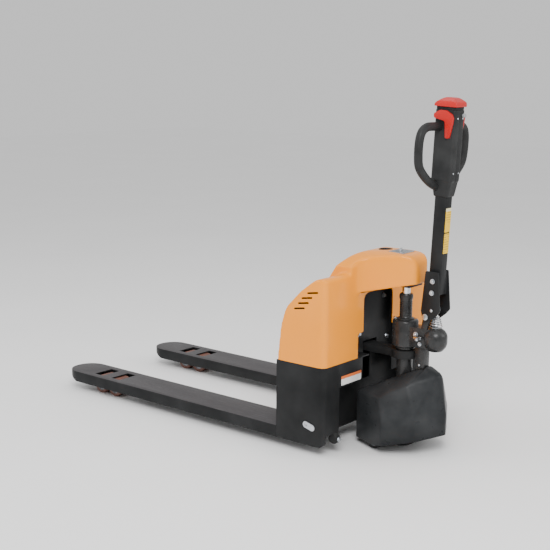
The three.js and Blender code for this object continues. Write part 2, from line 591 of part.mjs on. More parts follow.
function pumpBody() {
  const foot = SKIRT_DECK + 15 + GAP;
  const neck = rod("z", NECK_D / 2, foot, PUMP_BOTTOM + 1, STEER_X, 0);
  const tank = rod("z", PUMP_TANK_D / 2, PUMP_BOTTOM, PUMP_TOP, STEER_X, 0, 36);
  const sleeve = lathe([[0, PUMP_TOP - 1], [SLEEVE_D / 2, PUMP_TOP - 1], [SLEEVE_D / 2, SLEEVE_TOP],
    [SLEEVE_D / 2 + 2, SLEEVE_TOP + 8], [SLEEVE_D / 2 - 2, GLAND_TOP], [0, GLAND_TOP]], STEER_X, 0);
  const block = box(PLUNGER_X, STEER_X, -30, 30, PUMP_BOTTOM + 8, PUMP_TOP - 20);
  const casting = lathe([[0, 1], [26, 1], [40, 17], [44, 33], [44, 61], [34, 79], [22, 87], [0, 87]]
    .map(([r, z]) => [r, PUMP_BOTTOM + z]), PLUNGER_X, 0);
  const columnFront = STEER_X - NECK_D / 2 - 27;
  const column = box(columnFront - 40, columnFront, -20, 20, SKIRT_DECK + 85, PUMP_BOTTOM + 10);
  const lugs = SIDES.map(([, s]) => slabXZ(
    link(TILT_X, TILT_Z, 14, TILT_X + 13, PUMP_TOP - 35, 12), ...span(s, 18, 29)));
  const ramBore = rod("z", RAM_D / 2 + RUN, RAM_TOP - RAM_LENGTH - 2, GLAND_TOP + 1, STEER_X, 0);
  const plungerBore = rod("z", 9 + RUN, PUMP_BOTTOM + 8, PUMP_TOP + 10, PLUNGER_X, 0, 20);
  const pinBore = rod("y", TILT_PIN_R + GAP, -60, 60, TILT_X, TILT_Z, 20);
  const valve = rod("x", 7 + GAP, STEER_X - 100, STEER_X - 60, 28, VALVE_Z, 20);
  const body = join(neck, tank, sleeve, block, casting, column, ...lugs);
  return cut(body, ramBore, plungerBore, pinBore, valve.translate([0, 14, 0]));
}

function ram() {
  return join(rod("z", RAM_D / 2, RAM_TOP - RAM_LENGTH, RAM_TOP - 2, STEER_X, 0),
    rod("z", RAM_D / 2 - 2, RAM_TOP - 3, RAM_TOP, STEER_X, 0));
}

function plunger() {
  const top = PLUNGER_TOP;
  return lathe([[0, PUMP_TOP - 50], [9, PUMP_TOP - 50], [9, top - 16], [11, top - 16], [11, top - 12],
    [8, top - 12], [5, top - 2], [0, top - 2 * GAP]], PLUNGER_X, 0);
}

function plungerSpring() {
  const coil = new THREE.CatmullRomCurve3(Array.from({ length: 49 }, (_, i) => {
    const turn = i / 48 * SPRING_TURNS * 2 * Math.PI;
    const radius = 24 - 11 * i / 48;
    return new THREE.Vector3(
      PLUNGER_X + radius * Math.cos(turn), radius * Math.sin(turn), PUMP_TOP - 13 + 38 * i / 48);
  }));
  const wire = Array.from({ length: 6 }, (_, i) => new THREE.Vector2(
    2 * Math.cos(i * Math.PI / 3), 2 * Math.sin(i * Math.PI / 3)));
  return solid(new THREE.ExtrudeGeometry(new THREE.Shape(wire), { steps: 90, extrudePath: coil }));
}

function tiltPin() {
  return rod("y", TILT_PIN_R, -44, 44, TILT_X, TILT_Z, 20);
}

function releaseLever() {
  const pivot = rod("x", 7, STEER_X - 98, STEER_X - 66, 42, VALVE_Z, 16);
  const paddle = box(STEER_X - 96, STEER_X - 84, 44, 66, VALVE_Z - 5, VALVE_Z + 5);
  return join(pivot, paddle);
}

function driveFrame() {
  const top = SKIRT_DECK + 15;
  const plate = rod("z", 62, top - 8, top, STEER_X, 0);
  const gearCase = slabXZ(link(STEER_X, WHEEL_R, 44, STEER_X - 55, MOTOR_Z, 48), DRIVE_WHEEL_W / 2 + 4, 52);
  const web = box(STEER_X - 45, STEER_X + 15, DRIVE_WHEEL_W / 2 + 4, 52, WHEEL_R, top);
  const outriggers = SIDES.flatMap(([, s]) => stabiliserArm(s, top));
  const bore = rod("y", 12 + RUN, 0, 60, STEER_X, WHEEL_R, 20);
  return cut(join(plate, gearCase, web, ...outriggers), bore);
}

const STABILISER_X = STEER_X + 52;
const MOTOR_Z = WHEEL_R + 40;

function stabiliserArm(s, top) {
  const half = STABILISER_W / 2;
  const axle = STABILISER_D / 2;
  const cheeks = [STABILISER_OUT - half - 6, STABILISER_OUT + half + 1.5].map((y) => box(
    STABILISER_X - 12, STABILISER_X + 12, ...span(s, y, y + 4.5), axle - 9, 2 * axle + 14));
  return [
    box(STABILISER_X - 12, STABILISER_X + 12, ...span(s, 56, STABILISER_OUT + half + 6),
      2 * axle + 8, 2 * axle + 14),
    box(STABILISER_X - 12, STABILISER_X + 12, ...span(s, 56, 62), 2 * axle + 8, top),
    box(STEER_X + 20, STABILISER_X + 12, ...span(s, 30, 62), top - 8, top),
    rod("y", 5, ...span(s, STABILISER_OUT - half - 3, STABILISER_OUT + half + 3), STABILISER_X, axle, 16),
    ...cheeks];
}

function stabiliser(side) {
  const half = STABILISER_W / 2;
  const y = side * STABILISER_OUT;
  const wheel = rod("y", STABILISER_D / 2, y - half, y + half, STABILISER_X, STABILISER_D / 2, 32);
  return cut(wheel, rod("y", 5 + RUN, y - 20, y + 20, STABILISER_X, STABILISER_D / 2, 16));
}

function motor() {
  const can = rod("y", 44, 52 + GAP, 112, STEER_X - 55, MOTOR_Z, 32);
  return join(can, rod("y", 30, 111, 122, STEER_X - 55, MOTOR_Z, 24));
}

function driveHub() {
  const half = DRIVE_WHEEL_W / 2;
  const hub = rod("y", WHEEL_R - TYRE_THICKNESS, -half + 2, half - 2, STEER_X, WHEEL_R, 36);
  const dish = rod("y", WHEEL_R - 36, -half, -half + 12, STEER_X, WHEEL_R, 36);
  return join(cut(hub, dish), rod("y", 12, -half, 50, STEER_X, WHEEL_R, 20));
}

function driveTyre() {
  const half = DRIVE_WHEEL_W / 2;
  const tyre = rod("y", WHEEL_R, -half, half, STEER_X, WHEEL_R, 48);
  return cut(tyre, rod("y", WHEEL_R - TYRE_THICKNESS + GAP, -half - 1, half + 1, STEER_X, WHEEL_R, 36));
}

function skirtPoints(inset) {
  const low = inset ? 0 : 24;
  const points = [
    [DRIVE_COVER_NOSE, 103, low], [DRIVE_COVER_NOSE, 103, SKIRT_DECK], [-15, DRIVE_COVER_HALF, low],
    [-15, DRIVE_COVER_HALF, SKIRT_DECK - 55], [8, DRIVE_COVER_HALF - 9, SKIRT_DECK + 9], [-124, 117, low],
    [-124, 117, SKIRT_DECK - 51], [-DRIVE_COVER_REACH, 0, low], [-DRIVE_COVER_REACH, 0, SKIRT_DECK - 53],
    [-78, 98, SKIRT_DECK + 63], [-62, 44, SKIRT_DECK + 101], [-103, 20, SKIRT_DECK + 120],
    [-160, 14, SKIRT_DECK + 95]];
  return mirrorY(points).map(([x, y, z]) => {
    const r = Math.hypot(x, y);
    const k = (r - inset * 1.1) / r;
    return [STEER_X + x * k, y * k, z > low ? z - inset : z];
  });
}

function driveCover() {
  const blank = hull(skirtPoints(0));
  const hollow = hull(skirtPoints(DRIVE_COVER_WALL));
  const tail = -DRIVE_COVER_REACH - 20;
  const hem = slabXZ([[200, -5], [200, 24], [40, 24], [tail, 80], [tail, -5]]
    .map(([x, z]) => new THREE.Vector2(STEER_X + x, z)), -200, 200);
  const throat = rod("z", NECK_D / 2 + 6, SKIRT_DECK, YOKE_TOP, STEER_X, 0);
  const slot = box(STEER_X - 104, STEER_X, -NECK_D / 2, NECK_D / 2, SKIRT_DECK + 25, YOKE_TOP);
  return cut(blank, hollow, hem, throat, slot);
}

// ---------------------------------------------------------------- tiller
const TUBE_LOW = 85;
const TUBE_CORNER = 7;
const tiller = new THREE.Group();
tiller.position.set(...TILLER_ORIGIN);
tiller.rotation.y = -LEAN;
truck.add(tiller);

const BLOCK_V = NECK_V + 62;

function rectangle(depth, width, corner) {
  const a = depth / 2;
  const b = width / 2;
  return outline([[-a, -b, corner], [a, -b, corner], [a, b, corner], [-a, b, corner]], 3);
}

function tillerTube() {
  const top = NECK_V + 40;
  const inside = rectangle(TUBE_DEPTH - 2 * TUBE_WALL, TUBE_WIDTH - 2 * TUBE_WALL, 4);
  const bar = slabXY(rectangle(TUBE_DEPTH, TUBE_WIDTH, TUBE_CORNER), TUBE_LOW, top);
  return cut(bar, slabXY(inside, TUBE_LOW - 1, top + 1));
}

function tillerBase() {
  const plates = SIDES.map(([, s]) => slabXZ(outline([
    [TILT_X + 10, TILT_Z - 17, 16], [TILT_X + 19, TILT_Z + 22, 8], [TILT_X + 4, TILT_Z + 171, 4],
    [TILT_X - 48, TILT_Z + 171, 4], [TILT_X - 60, TILT_Z + 26, 8], [TILT_X - 44, TILT_Z + 7, 10],
    [TILT_X - 14, TILT_Z - 17, 12]].reverse(), 4), ...span(s, 32, 38)));
  const block = box(-499, -450, -33, 33, TILT_Z + 83, TILT_Z + 167);
  const channel = slabXY(rectangle(TUBE_DEPTH + 2 * GAP, TUBE_WIDTH + 2 * GAP, TUBE_CORNER), TUBE_LOW - 60, 300)
    .rotate([0, -TILLER_LEAN, 0]).translate(TILLER_ORIGIN);
  const pinBore = rod("y", TILT_PIN_R + RUN, -60, 60, TILT_X, TILT_Z, 20);
  const camPin = rod("y", 5, -33, 33, PLUNGER_X, PLUNGER_TOP + CAM_R, 16);
  return join(cut(join(...plates, block), pinBore, channel), camPin);
}

function camRoller() {
  const z = PLUNGER_TOP + CAM_R;
  return cut(rod("y", CAM_R, -12, 12, PLUNGER_X, z, 24), rod("y", 5 + RUN, -20, 20, PLUNGER_X, z, 16));
}

function headHousing() {
  const a = HEAD_DEPTH / 2;
  const b = HEAD_WIDTH / 2;
  const block = slabXY(rectangle(HEAD_DEPTH, HEAD_WIDTH, 10), BLOCK_V - 1, CAP_V);
  const collar = [[-29, -27], [29, -27], [29, 27], [-29, 27]];
  const mouth = [[-a + 4, -b + 4], [a - 4, -b + 4], [a - 4, b - 4], [-a + 4, b - 4]];
  const throat = hull([...collar.map(([x, y]) => [x, y, NECK_V]),
    ...collar.map(([x, y]) => [x, y, NECK_V + 12]), ...mouth.map(([x, y]) => [x, y, BLOCK_V])]);
  const socket = slabXY(rectangle(TUBE_DEPTH + 2 * GAP, TUBE_WIDTH + 2 * GAP, TUBE_CORNER),
    NECK_V - 1, NECK_V + 40 + GAP);
  const shaftBore = rod("y", 6 + RUN, -60, 60, THROTTLE_U, THROTTLE_V, 16);
  const leverSlot = box(-20, 10, -b - 1, -b + 14, LEVER_V - 12, LEVER_V + 12);
  const horn = rod("x", 7 + RUN, -a - 1, -a + 12, -18, HORN_V, 16);
  const guide = box(-23, 23, -21, 21, CAP_V - 1, CAP_V + 16);
  return cut(join(block, throat, guide), socket, shaftBore, leverSlot, horn);
}

const GRIP_U = 22;               // the loops stand in front of the head's middle
const THROTTLE_U = 4;
const THROTTLE_V = CAP_V - 20;
const LEVER_V = CAP_V - 116;

function gripLoop(side) {
  const out = GRIP_SPAN / 2 - GRIP_D / 2;
  const low = BLOCK_V - 18;
  const route = new THREE.CatmullRomCurve3([
    [16, low - 8], [60, low + 12], [102, low + 42], [out - 6, low + 82], [out, low + 120],
    [out - 1, low + 160], [out - 16, low + 190], [out - 48, low + 206], [70, low + 207],
    [16, low + 207]].map(([y, z]) => new THREE.Vector3(GRIP_U, y * side, z)), false, "catmullrom", 0.5);
  const section = Array.from({ length: 12 }, (_, i) => new THREE.Vector2(
    GRIP_D / 2 * Math.cos(i * Math.PI / 6), GRIP_D / 2 * Math.sin(i * Math.PI / 6)));
  return solid(new THREE.ExtrudeGeometry(new THREE.Shape(section), { steps: 26, extrudePath: route }));
}

function grip(side) {
  const a = HEAD_DEPTH / 2 + 2;
  const b = HEAD_WIDTH / 2 + GAP;
  return cut(gripLoop(side), box(-a, a, -b, b, 300, TOP_V + 10));
}

function fingerLever() {
  const b = HEAD_WIDTH / 2;
  const hub = rod("x", 8, -16, 6, -b + 4 - 6, LEVER_V, 16);
  const blade = hull([[-12, 2, -5], [2, 2, -5], [-12, 2, 5], [2, 2, 5], [-9, 40, 1], [-1, 40, 1],
    [-9, 40, 6], [-1, 40, 6]].map(([x, out, z]) => [x, -b - out, LEVER_V + z]));
  return join(hub, blade);
}

function throttleButterfly() {
  const reach = HEAD_WIDTH / 2 + 11;
  const edge = [[-38, -10, 8], [-32, 4, 6], [-8, 17, 8], [16, 17, 8], [40, 4, 6], [40, -12, 8],
    [-6, -20, 10], [-11, -80, 5], [-27, -80, 5], [-36, -30, 10]].map(([x, z, r]) => [x, THROTTLE_V + z, r]);
  const paddles = SIDES.map(([, s]) => slabXZ(outline(edge, 3), ...span(s, HEAD_WIDTH / 2 + GAP, reach)));
  return join(rod("y", 6, -reach + 1, reach - 1, THROTTLE_U, THROTTLE_V, 16), ...paddles);
}

function bellyButton() {
  const a = HEAD_DEPTH / 2 + 1;
  const rise = TOP_V - CAP_V;
  const side = outline([
    [-a, CAP_V + 9], [a, CAP_V + 9], [a, CAP_V + 20, 12], [a - 30, TOP_V, 30], [-a + 22, TOP_V, 26],
    [-a, CAP_V + rise * 0.6, 10]], 4);
  const pocket = box(-24, 24, -22, 22, CAP_V, CAP_V + 26);
  return cut(slabXZ(side, -HEAD_WIDTH / 2 - 6, HEAD_WIDTH / 2 + 6), pocket);
}

function hornButton() {
  return rod("x", 7, -HEAD_DEPTH / 2 - HORN_PROUD, -HEAD_DEPTH / 2 + 6, -18, HORN_V, 16);
}

// ---------------------------------------------------------------- small chassis fittings
function keeperPlate(side) {
  const plate = slabXZ(link(-15, 0, 12.5, 15, 0, 12.5), ...span(side, HALF + GAP, HALF + 3))
    .subtract(rod("y", 6, -HALF - 9, HALF + 9, 14, 0, 16));
  return plate.rotate([0, -15, 0]).translate([-158, 0, 114]);
}

function steeringBuffer(side) {
  const [y0, y1] = span(side, COLUMN_Y + 6, COLUMN_Y + 34);
  const z = FLANGE_BOTTOM + 41;
  const rear = BODY_DEPTH + 15;
  return slabXZ(outline([[-200, z + 4], [-200, z - 34, 12], [-rear + 4, z - 40, 12], [-rear, z - 18, 10],
    [-rear + 16, z + 4]]), y0, y1).subtract(box(-BODY_DEPTH - GAP, -190, y0 - 1, y1 + 1, z - GAP, z + 20));
}

// ---------------------------------------------------------------- assembly
for (const [name, side] of SIDES) {
  add(`fork_${name}`, fork(side), "chassis");
  add(`side_casing_${name}`, sideCasing(side), "chassis");
  add(`battery_${name}`, battery(side), "battery");
  add(`push_rod_${name}`, pushRod(side), "steel");
  add(`load_arm_${name}`, loadArm(side), "chassis");
  add(`arm_pin_${name}`, armPin(side), "zinc");
  add(`bogie_${name}`, bogie(side), "zinc");
  add(`load_roller_front_${name}`, roller(side, BOGIE_X + ROLLER_PITCH / 2), "brownPu");
  add(`load_roller_rear_${name}`, roller(side, BOGIE_X - ROLLER_PITCH / 2), "brownPu");
  add(`stabiliser_wheel_${name}`, stabiliser(side), "grey");
  add(`grip_${name}`, grip(side), "blackPlastic", tiller);
  add(`keeper_plate_${name}`, keeperPlate(side), "zinc");
  add(`steering_buffer_${name}`, steeringBuffer(side), "rubber");
}
add("front_plate", frontPlate(), "chassis");
add("rear_bulkhead", bulkhead(), "chassis");
add("equipment_shelf", shelf(), "chassis");
add("tower_panel", towerPanel(), "chassis");
add("head_bracket", headBracket(), "chassis");
add("body_cover", cover(), "orange");
add("console_plate", consolePlate(), "grey");
add("battery_gauge", gauge(), "blackPlastic");
add("stop_collar", stopCollar(), "blackPlastic");
add("stop_button", stopButton(), "red");
add("key_switch", keySwitch(), "zinc");
add("motor_controller", controller(), "steel");
add("rocker_shaft", rockerShaft(), "zinc");
add("rocker", rocker(), "chassis");
add("thrust_yoke", thrustYoke(), "casting");
add("ram", ram(), "chrome");
add("pump_body", pumpBody(), "casting");
add("pump_plunger", plunger(), "chrome");
add("plunger_spring", plungerSpring(), "chrome");
add("tilt_pin", tiltPin(), "zinc");
add("release_lever", releaseLever(), "zinc");
add("drive_frame", driveFrame(), "casting");
add("traction_motor", motor(), "casting");
add("drive_hub", driveHub(), "casting");
add("drive_tyre", driveTyre(), "rubber");
add("drive_cover", driveCover(), "skirt");
add("tiller_base", tillerBase(), "chassis");
add("cam_roller", camRoller(), "zinc");
add("tiller_tube", tillerTube(), "chassis", tiller);
add("head_housing", headHousing(), "blackPlastic", tiller);
add("finger_lever", fingerLever(), "blackPlastic", tiller);
add("throttle_butterfly", throttleButterfly(), "red", tiller);
add("belly_button", bellyButton(), "red", tiller);
add("horn_button", hornButton(), "grey", tiller);

export default truck;
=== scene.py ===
import json
import math

import bmesh
import bpy
from bpy.props import FloatProperty, FloatVectorProperty, IntProperty, PointerProperty
from mathutils import Matrix, Vector

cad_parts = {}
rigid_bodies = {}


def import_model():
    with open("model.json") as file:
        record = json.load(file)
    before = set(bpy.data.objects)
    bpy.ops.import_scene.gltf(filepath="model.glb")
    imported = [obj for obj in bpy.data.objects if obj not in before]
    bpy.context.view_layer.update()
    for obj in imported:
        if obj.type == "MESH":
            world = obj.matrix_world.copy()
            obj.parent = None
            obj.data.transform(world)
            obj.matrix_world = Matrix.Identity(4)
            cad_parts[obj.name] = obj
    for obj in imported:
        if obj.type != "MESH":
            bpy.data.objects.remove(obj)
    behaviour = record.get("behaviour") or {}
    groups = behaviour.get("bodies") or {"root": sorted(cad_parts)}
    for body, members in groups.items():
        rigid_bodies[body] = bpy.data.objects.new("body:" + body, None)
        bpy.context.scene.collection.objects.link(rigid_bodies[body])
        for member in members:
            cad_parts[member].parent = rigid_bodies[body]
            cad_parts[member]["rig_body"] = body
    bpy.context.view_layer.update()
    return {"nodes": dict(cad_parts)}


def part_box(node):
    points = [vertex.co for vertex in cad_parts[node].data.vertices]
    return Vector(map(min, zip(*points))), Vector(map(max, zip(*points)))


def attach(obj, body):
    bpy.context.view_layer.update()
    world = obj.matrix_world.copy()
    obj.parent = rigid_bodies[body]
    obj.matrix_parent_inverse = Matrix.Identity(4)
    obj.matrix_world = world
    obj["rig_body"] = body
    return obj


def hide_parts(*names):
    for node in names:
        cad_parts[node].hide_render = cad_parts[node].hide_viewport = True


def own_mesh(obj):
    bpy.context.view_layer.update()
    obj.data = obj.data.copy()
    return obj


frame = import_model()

bl_info = {
    "name": "Pallet jack",
    "version": (1, 0, 0),
    "blender": (4, 5, 0),
    "location": "3D View > Sidebar > Pallet jack",
    "description": "Builds the visible pieces of a semi-electric pallet jack round its packed frame",
    "category": "Mesh",
}

MM = 0.001
CAD_GAP = 0.3
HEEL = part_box("fork_left")[0].x / MM - CAD_GAP       # heel of the forks, in mm along X
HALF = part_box("side_casing_left")[1].y / MM
FORK_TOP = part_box("fork_left")[1].z / MM
CASING_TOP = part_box("side_casing_left")[1].z / MM
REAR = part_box("side_casing_left")[0].x / MM - HEEL   # rear face of the casing, behind the heel
COVER_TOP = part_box("body_cover")[1].z / MM
COVER_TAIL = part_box("body_cover")[0].x / MM - HEEL
STEER_X = sum(c.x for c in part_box("ram")) / 2 / MM - HEEL
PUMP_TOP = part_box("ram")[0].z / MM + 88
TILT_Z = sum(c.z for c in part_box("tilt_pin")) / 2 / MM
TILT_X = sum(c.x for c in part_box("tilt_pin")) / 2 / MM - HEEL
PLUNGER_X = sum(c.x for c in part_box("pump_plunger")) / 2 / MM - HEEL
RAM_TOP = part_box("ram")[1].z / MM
LEAN = math.radians(2.7)
TILLER_BACK = -470.0
TRUCK = Matrix.Translation((HEEL * MM, 0, 0)) @ Matrix.Scale(MM, 4)
TILLER = TRUCK @ Matrix.Translation((TILLER_BACK, 0, TILT_Z + 1)) @ Matrix.Rotation(-LEAN, 4, "Y")
SIDES = (("left", 1), ("right", -1))


CREASE = 32.0                            # angle in degrees above which an edge is rounded or kept sharp
CROWN_R = 341                            # round of the raised centre across the truck
FRONT_HALF, ROOT_HALF, TAIL_HALF = 181, 130, 42      # half-widths of the raised centre
PLATE_Y = 38                             # outer face of the tiller base plates
CAM_Z = 546                              # cam roller axle
TANK_R, SLEEVE_R, RAM_R = 49, 24, 15
THROAT_R = 36                            # opening round the pump neck in the drive cover
HEM_Z = 24                               # lowest edge of the drive cover
COIL_TURNS, COIL_STEPS = 4.5, 108
GRIP_R = 15.5
HUB_SHARE = 0.66                         # hub radius as a share of the roller's
DECAL_U = -25.1                          # side of the tiller films next to the tube


# ---------------------------------------------------------------- sizes and colours a user may change
def shade(name, description, code):
    """A colour setting from an sRGB hex value."""
    return FloatVectorProperty(name=name, description=description, subtype="COLOR", size=4,
                               min=0.0, max=1.0, default=linear(code))


def length(name, description, value, low=0.0):
    """A length setting in millimetres."""
    return FloatProperty(name=name, description=description, default=value, min=low)


def linear(code):
    """sRGB hex to linear RGBA."""
    parts = [int(code[i:i + 2], 16) / 255 for i in (1, 3, 5)]
    return tuple(c / 12.92 if c <= 0.04045 else ((c + 0.055) / 1.055) ** 2.4 for c in parts) + (1.0,)


class JackSizes(bpy.types.PropertyGroup):
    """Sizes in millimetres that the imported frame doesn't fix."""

    cover_wall: length("Cover wall", "Wall of the moulded orange cover", 3.5, 1.0)
    cover_voxel: length("Cover fineness", "Mesh step of the moulded cover", 5.0, 2.0)
    cover_passes: IntProperty(name="Cover softness", description="Smoothing passes on its edges", default=9)
    head_voxel: length("Head fineness", "Mesh step of the moulded tiller head", 2.6, 1.5)
    skirt_edge: length("Skirt edge", "Rounding on the drive cover's corners", 9.0)
    vent_height: length("Vent height", "Height of a cooling slot", 6.5, 1.0)
    turn_steps: IntProperty(name="Turned facets", description="Facets round a turned piece",
                            default=72, min=24)


class JackColours(bpy.types.PropertyGroup):
    """Finish colours."""

    orange: shade("Cover orange", "Moulded body cover", "#FF9A00")
    powder: shade("Chassis black", "Powder coat on the steelwork", "#020406")
    moulding: shade("Moulding black", "Tiller head and grips", "#030506")
    skirt: shade("Skirt grey black", "Drive cover", "#0D1216")
    casting: shade("Casting black", "Painted pump casting", "#030506")
    red: shade("Control red", "Tiller controls", "#BC0C04")
    urethane: shade("Tread brown", "Load roller tread", "#6A3010")
    zinc: shade("Zinc", "Plated steel", "#C9CDD2")
    chrome: shade("Chrome", "Ram and plunger", "#E4E6E9")
    yellow: shade("Decal yellow", "Printed film on the tiller", "#EDBE00")
    grey: shade("Console grey", "Console moulding", "#9A9DA0")


class StageSettings(bpy.types.PropertyGroup):
    """Camera and light round the truck."""

    azimuth: FloatProperty(name="Azimuth", description="Camera bearing in degrees", default=219.52)
    elevation: FloatProperty(name="Elevation", description="Camera height angle in degrees", default=10.74)
    roll: FloatProperty(name="Roll", description="Camera roll in degrees", default=0.45)
    distance: FloatProperty(name="Distance", description="Camera to target", default=4.663, unit="LENGTH")
    lens: FloatProperty(name="Lens", description="Focal length in millimetres", default=74.63)
    target: FloatVectorProperty(name="Target", description="Point looked at", subtype="TRANSLATION",
                                default=(-0.0385, 0.0, 0.576))
    world: FloatProperty(name="Surround", description="Strength of the white surround", default=0.8)
    key: FloatProperty(name="Key light", description="Power of the key light in watts", default=170.0)
    fill: FloatProperty(name="Fill light", description="Power of the fill lights in watts", default=40.0)


# ---------------------------------------------------------------- materials
def add_node(tree, kind, inputs=(), **settings):
    """Adds a shader node, sets its attributes and fills its inputs with values or links."""
    made = tree.nodes.new(kind)
    for key, value in settings.items():
        setattr(made, key, value)
    for key, value in dict(inputs).items():
        if isinstance(value, bpy.types.NodeSocket):
            tree.links.new(value, made.inputs[key])
        else:
            made.inputs[key].default_value = value
    return made


def per_metre(size_mm):
    """Texture scale of a pattern whose feature is that many millimetres."""
    return 1000.0 / size_mm


def start(name):
    """An empty material with object coordinates: material, tree, coordinate socket."""
    made = bpy.data.materials.new(name)
    made.use_nodes = True
    tree = made.node_tree
    tree.nodes.clear()
    where = add_node(tree, "ShaderNodeTexCoord").outputs["Object"]
    return made, tree, where


def close(tree, colour, roughness, normal=None, **constants):
    """Ends a material in one shader; constants go straight on its sockets."""
    shader = add_node(tree, "ShaderNodeBsdfPrincipled", {"Base Color": colour, "Roughness": roughness})
    for key, value in constants.items():
        shader.inputs[key.replace("_", " ")].default_value = value
    if normal is not None:
        tree.links.new(normal, shader.inputs["Normal"])
    add_node(tree, "ShaderNodeOutputMaterial", {"Surface": shader.outputs[0]})
    return shader


def lighter(colour, by):
    """The colour moved towards white, or black if by is negative."""
    end = 1.0 if by > 0 else 0.0
    return tuple(c + (end - c) * abs(by) for c in colour[:3]) + (1.0,)


def blend_colours(tree, amount, first, second):
    """Mixes two colours or colour sockets."""
    return add_node(tree, "ShaderNodeMix", {"Factor": amount, "A": first, "B": second},
                    data_type="RGBA").outputs["Result"]


def spread(tree, value, low, high):
    """Spreads a 0 to 1 pattern between two values."""
    return add_node(tree, "ShaderNodeMapRange", {"Value": value, "To Min": low, "To Max": high})


def relief(tree, height, strength, depth):
    """Raises a pattern as bump, its depth in metres."""
    return add_node(tree, "ShaderNodeBump", {"Height": height, "Strength": strength, "Distance": depth})


def product(tree, first, second):
    """Multiplies two values or sockets."""
    return add_node(tree, "ShaderNodeMath", {0: first, 1: second}, operation="MULTIPLY")


def powder_coat(name, colour, scuffs_and_top_sheen=False):
    """Powder-coated steel, sprayed and baked: satin, with orange peel about 2 mm across and fine dust."""
    made, tree, where = start(name)
    cloud = add_node(tree, "ShaderNodeTexNoise", {"Vector": where, "Scale": per_metre(140), "Detail": 4.0})
    tone = blend_colours(tree, cloud.outputs["Fac"], lighter(colour, -0.25), lighter(colour, 0.035))
    dust = add_node(tree, "ShaderNodeTexNoise", {"Vector": where, "Scale": per_metre(9), "Detail": 8.0})
    gloss = spread(tree, dust.outputs["Fac"], 0.30, 0.5)
    rough = gloss.outputs[0]
    # scuffed forks get real rub marks and a painted highlight over their whole top faces
    if scuffs_and_top_sheen:
        along = add_node(tree, "ShaderNodeMapping", {"Vector": where, "Scale": (4.0, 70.0, 70.0)})
        rub = add_node(tree, "ShaderNodeTexNoise", {"Vector": along.outputs[0], "Scale": 3.0, "Detail": 9.0})
        mark = add_node(tree, "ShaderNodeMapRange",
                        {"Value": rub.outputs["Fac"], "From Min": 0.56, "From Max": 0.78})
        up = add_node(tree, "ShaderNodeSeparateXYZ", {"Vector": where})
        deck = add_node(tree, "ShaderNodeMapRange",
                        {"Value": up.outputs["Z"], "From Min": (FORK_TOP - 2) * MM,
                         "From Max": (FORK_TOP - 0.4) * MM})
        worn = product(tree, mark.outputs[0], deck.outputs[0])
        # painted highlight: film lifts the whole top face of a fork 55 % towards mid grey #565355, a sheen
        # from the light painted into the colour; the stretched noise marks blended in after it are real
        # rubbed wear
        film = product(tree, deck.outputs[0], 0.55)
        tone = blend_colours(tree, film.outputs[0], tone, linear("#565355"))
        faint = product(tree, worn.outputs[0], 0.22)
        tone = blend_colours(tree, faint.outputs[0], tone, linear("#8C8A89"))
    peel = add_node(tree, "ShaderNodeTexNoise", {"Vector": where, "Scale": per_metre(2.2), "Detail": 2.0})
    bump = relief(tree, peel.outputs["Fac"], 0.12, 0.0004)
    close(tree, tone, rough, bump.outputs[0], IOR=1.5, Specular_IOR_Level=0.1)
    return made


def glossy_abs(name, colour, coat=0.1):
    """Injection-moulded ABS, high gloss: faint flow waviness and hairline handling scratches."""
    made, tree, where = start(name)
    flow = add_node(tree, "ShaderNodeTexNoise", {"Vector": where, "Scale": per_metre(220), "Detail": 2.0})
    tone = blend_colours(tree, flow.outputs["Fac"], lighter(colour, -0.07), lighter(colour, 0.03))
    stretch = add_node(tree, "ShaderNodeMapping", {"Vector": where, "Scale": (1.0, 1.0, 9.0),
                                                   "Rotation": (0.5, 0.3, 0.2)})
    hair = add_node(tree, "ShaderNodeTexNoise", {"Vector": stretch.outputs[0], "Scale": per_metre(5),
                                                 "Detail": 10.0})
    gloss = add_node(tree, "ShaderNodeMapRange", {"Value": hair.outputs["Fac"], "From Min": 0.35,
                                                  "From Max": 0.75, "To Min": 0.16, "To Max": 0.3})
    wave = add_node(tree, "ShaderNodeTexNoise", {"Vector": where, "Scale": per_metre(45), "Detail": 1.0})
    bump = relief(tree, wave.outputs["Fac"], 0.05, 0.001)
    close(tree, tone, gloss.outputs[0], bump.outputs[0], IOR=1.53, Specular_IOR_Level=0.18, Coat_Weight=coat,
          Coat_Roughness=0.06)
    return made


def grained_plastic(name, colour, grain_mm=1.1, low=0.42, high=0.6, depth=0.25):
    """Moulded plastic from a spark-eroded tool: pebble grain about a millimetre across, satin sheen."""
    made, tree, where = start(name)
    cloud = add_node(tree, "ShaderNodeTexNoise", {"Vector": where, "Scale": per_metre(90), "Detail": 5.0})
    tone = blend_colours(tree, cloud.outputs["Fac"], lighter(colour, -0.2), lighter(colour, 0.05))
    wipe = add_node(tree, "ShaderNodeTexNoise", {"Vector": where, "Scale": per_metre(30), "Detail": 6.0})
    gloss = add_node(tree, "ShaderNodeMapRange", {"Value": wipe.outputs["Fac"], "From Min": 0.3,
                                                  "From Max": 0.7, "To Min": low, "To Max": high})
    pebble = add_node(tree, "ShaderNodeTexVoronoi", {"Vector": where, "Scale": per_metre(grain_mm)},
                      feature="SMOOTH_F1")
    bump = add_node(tree, "ShaderNodeBump", {"Height": pebble.outputs["Distance"], "Strength": depth,
                                             "Distance": 0.0003})
    close(tree, tone, gloss.outputs[0], bump.outputs[0], IOR=1.49, Specular_IOR_Level=0.1)
    return made


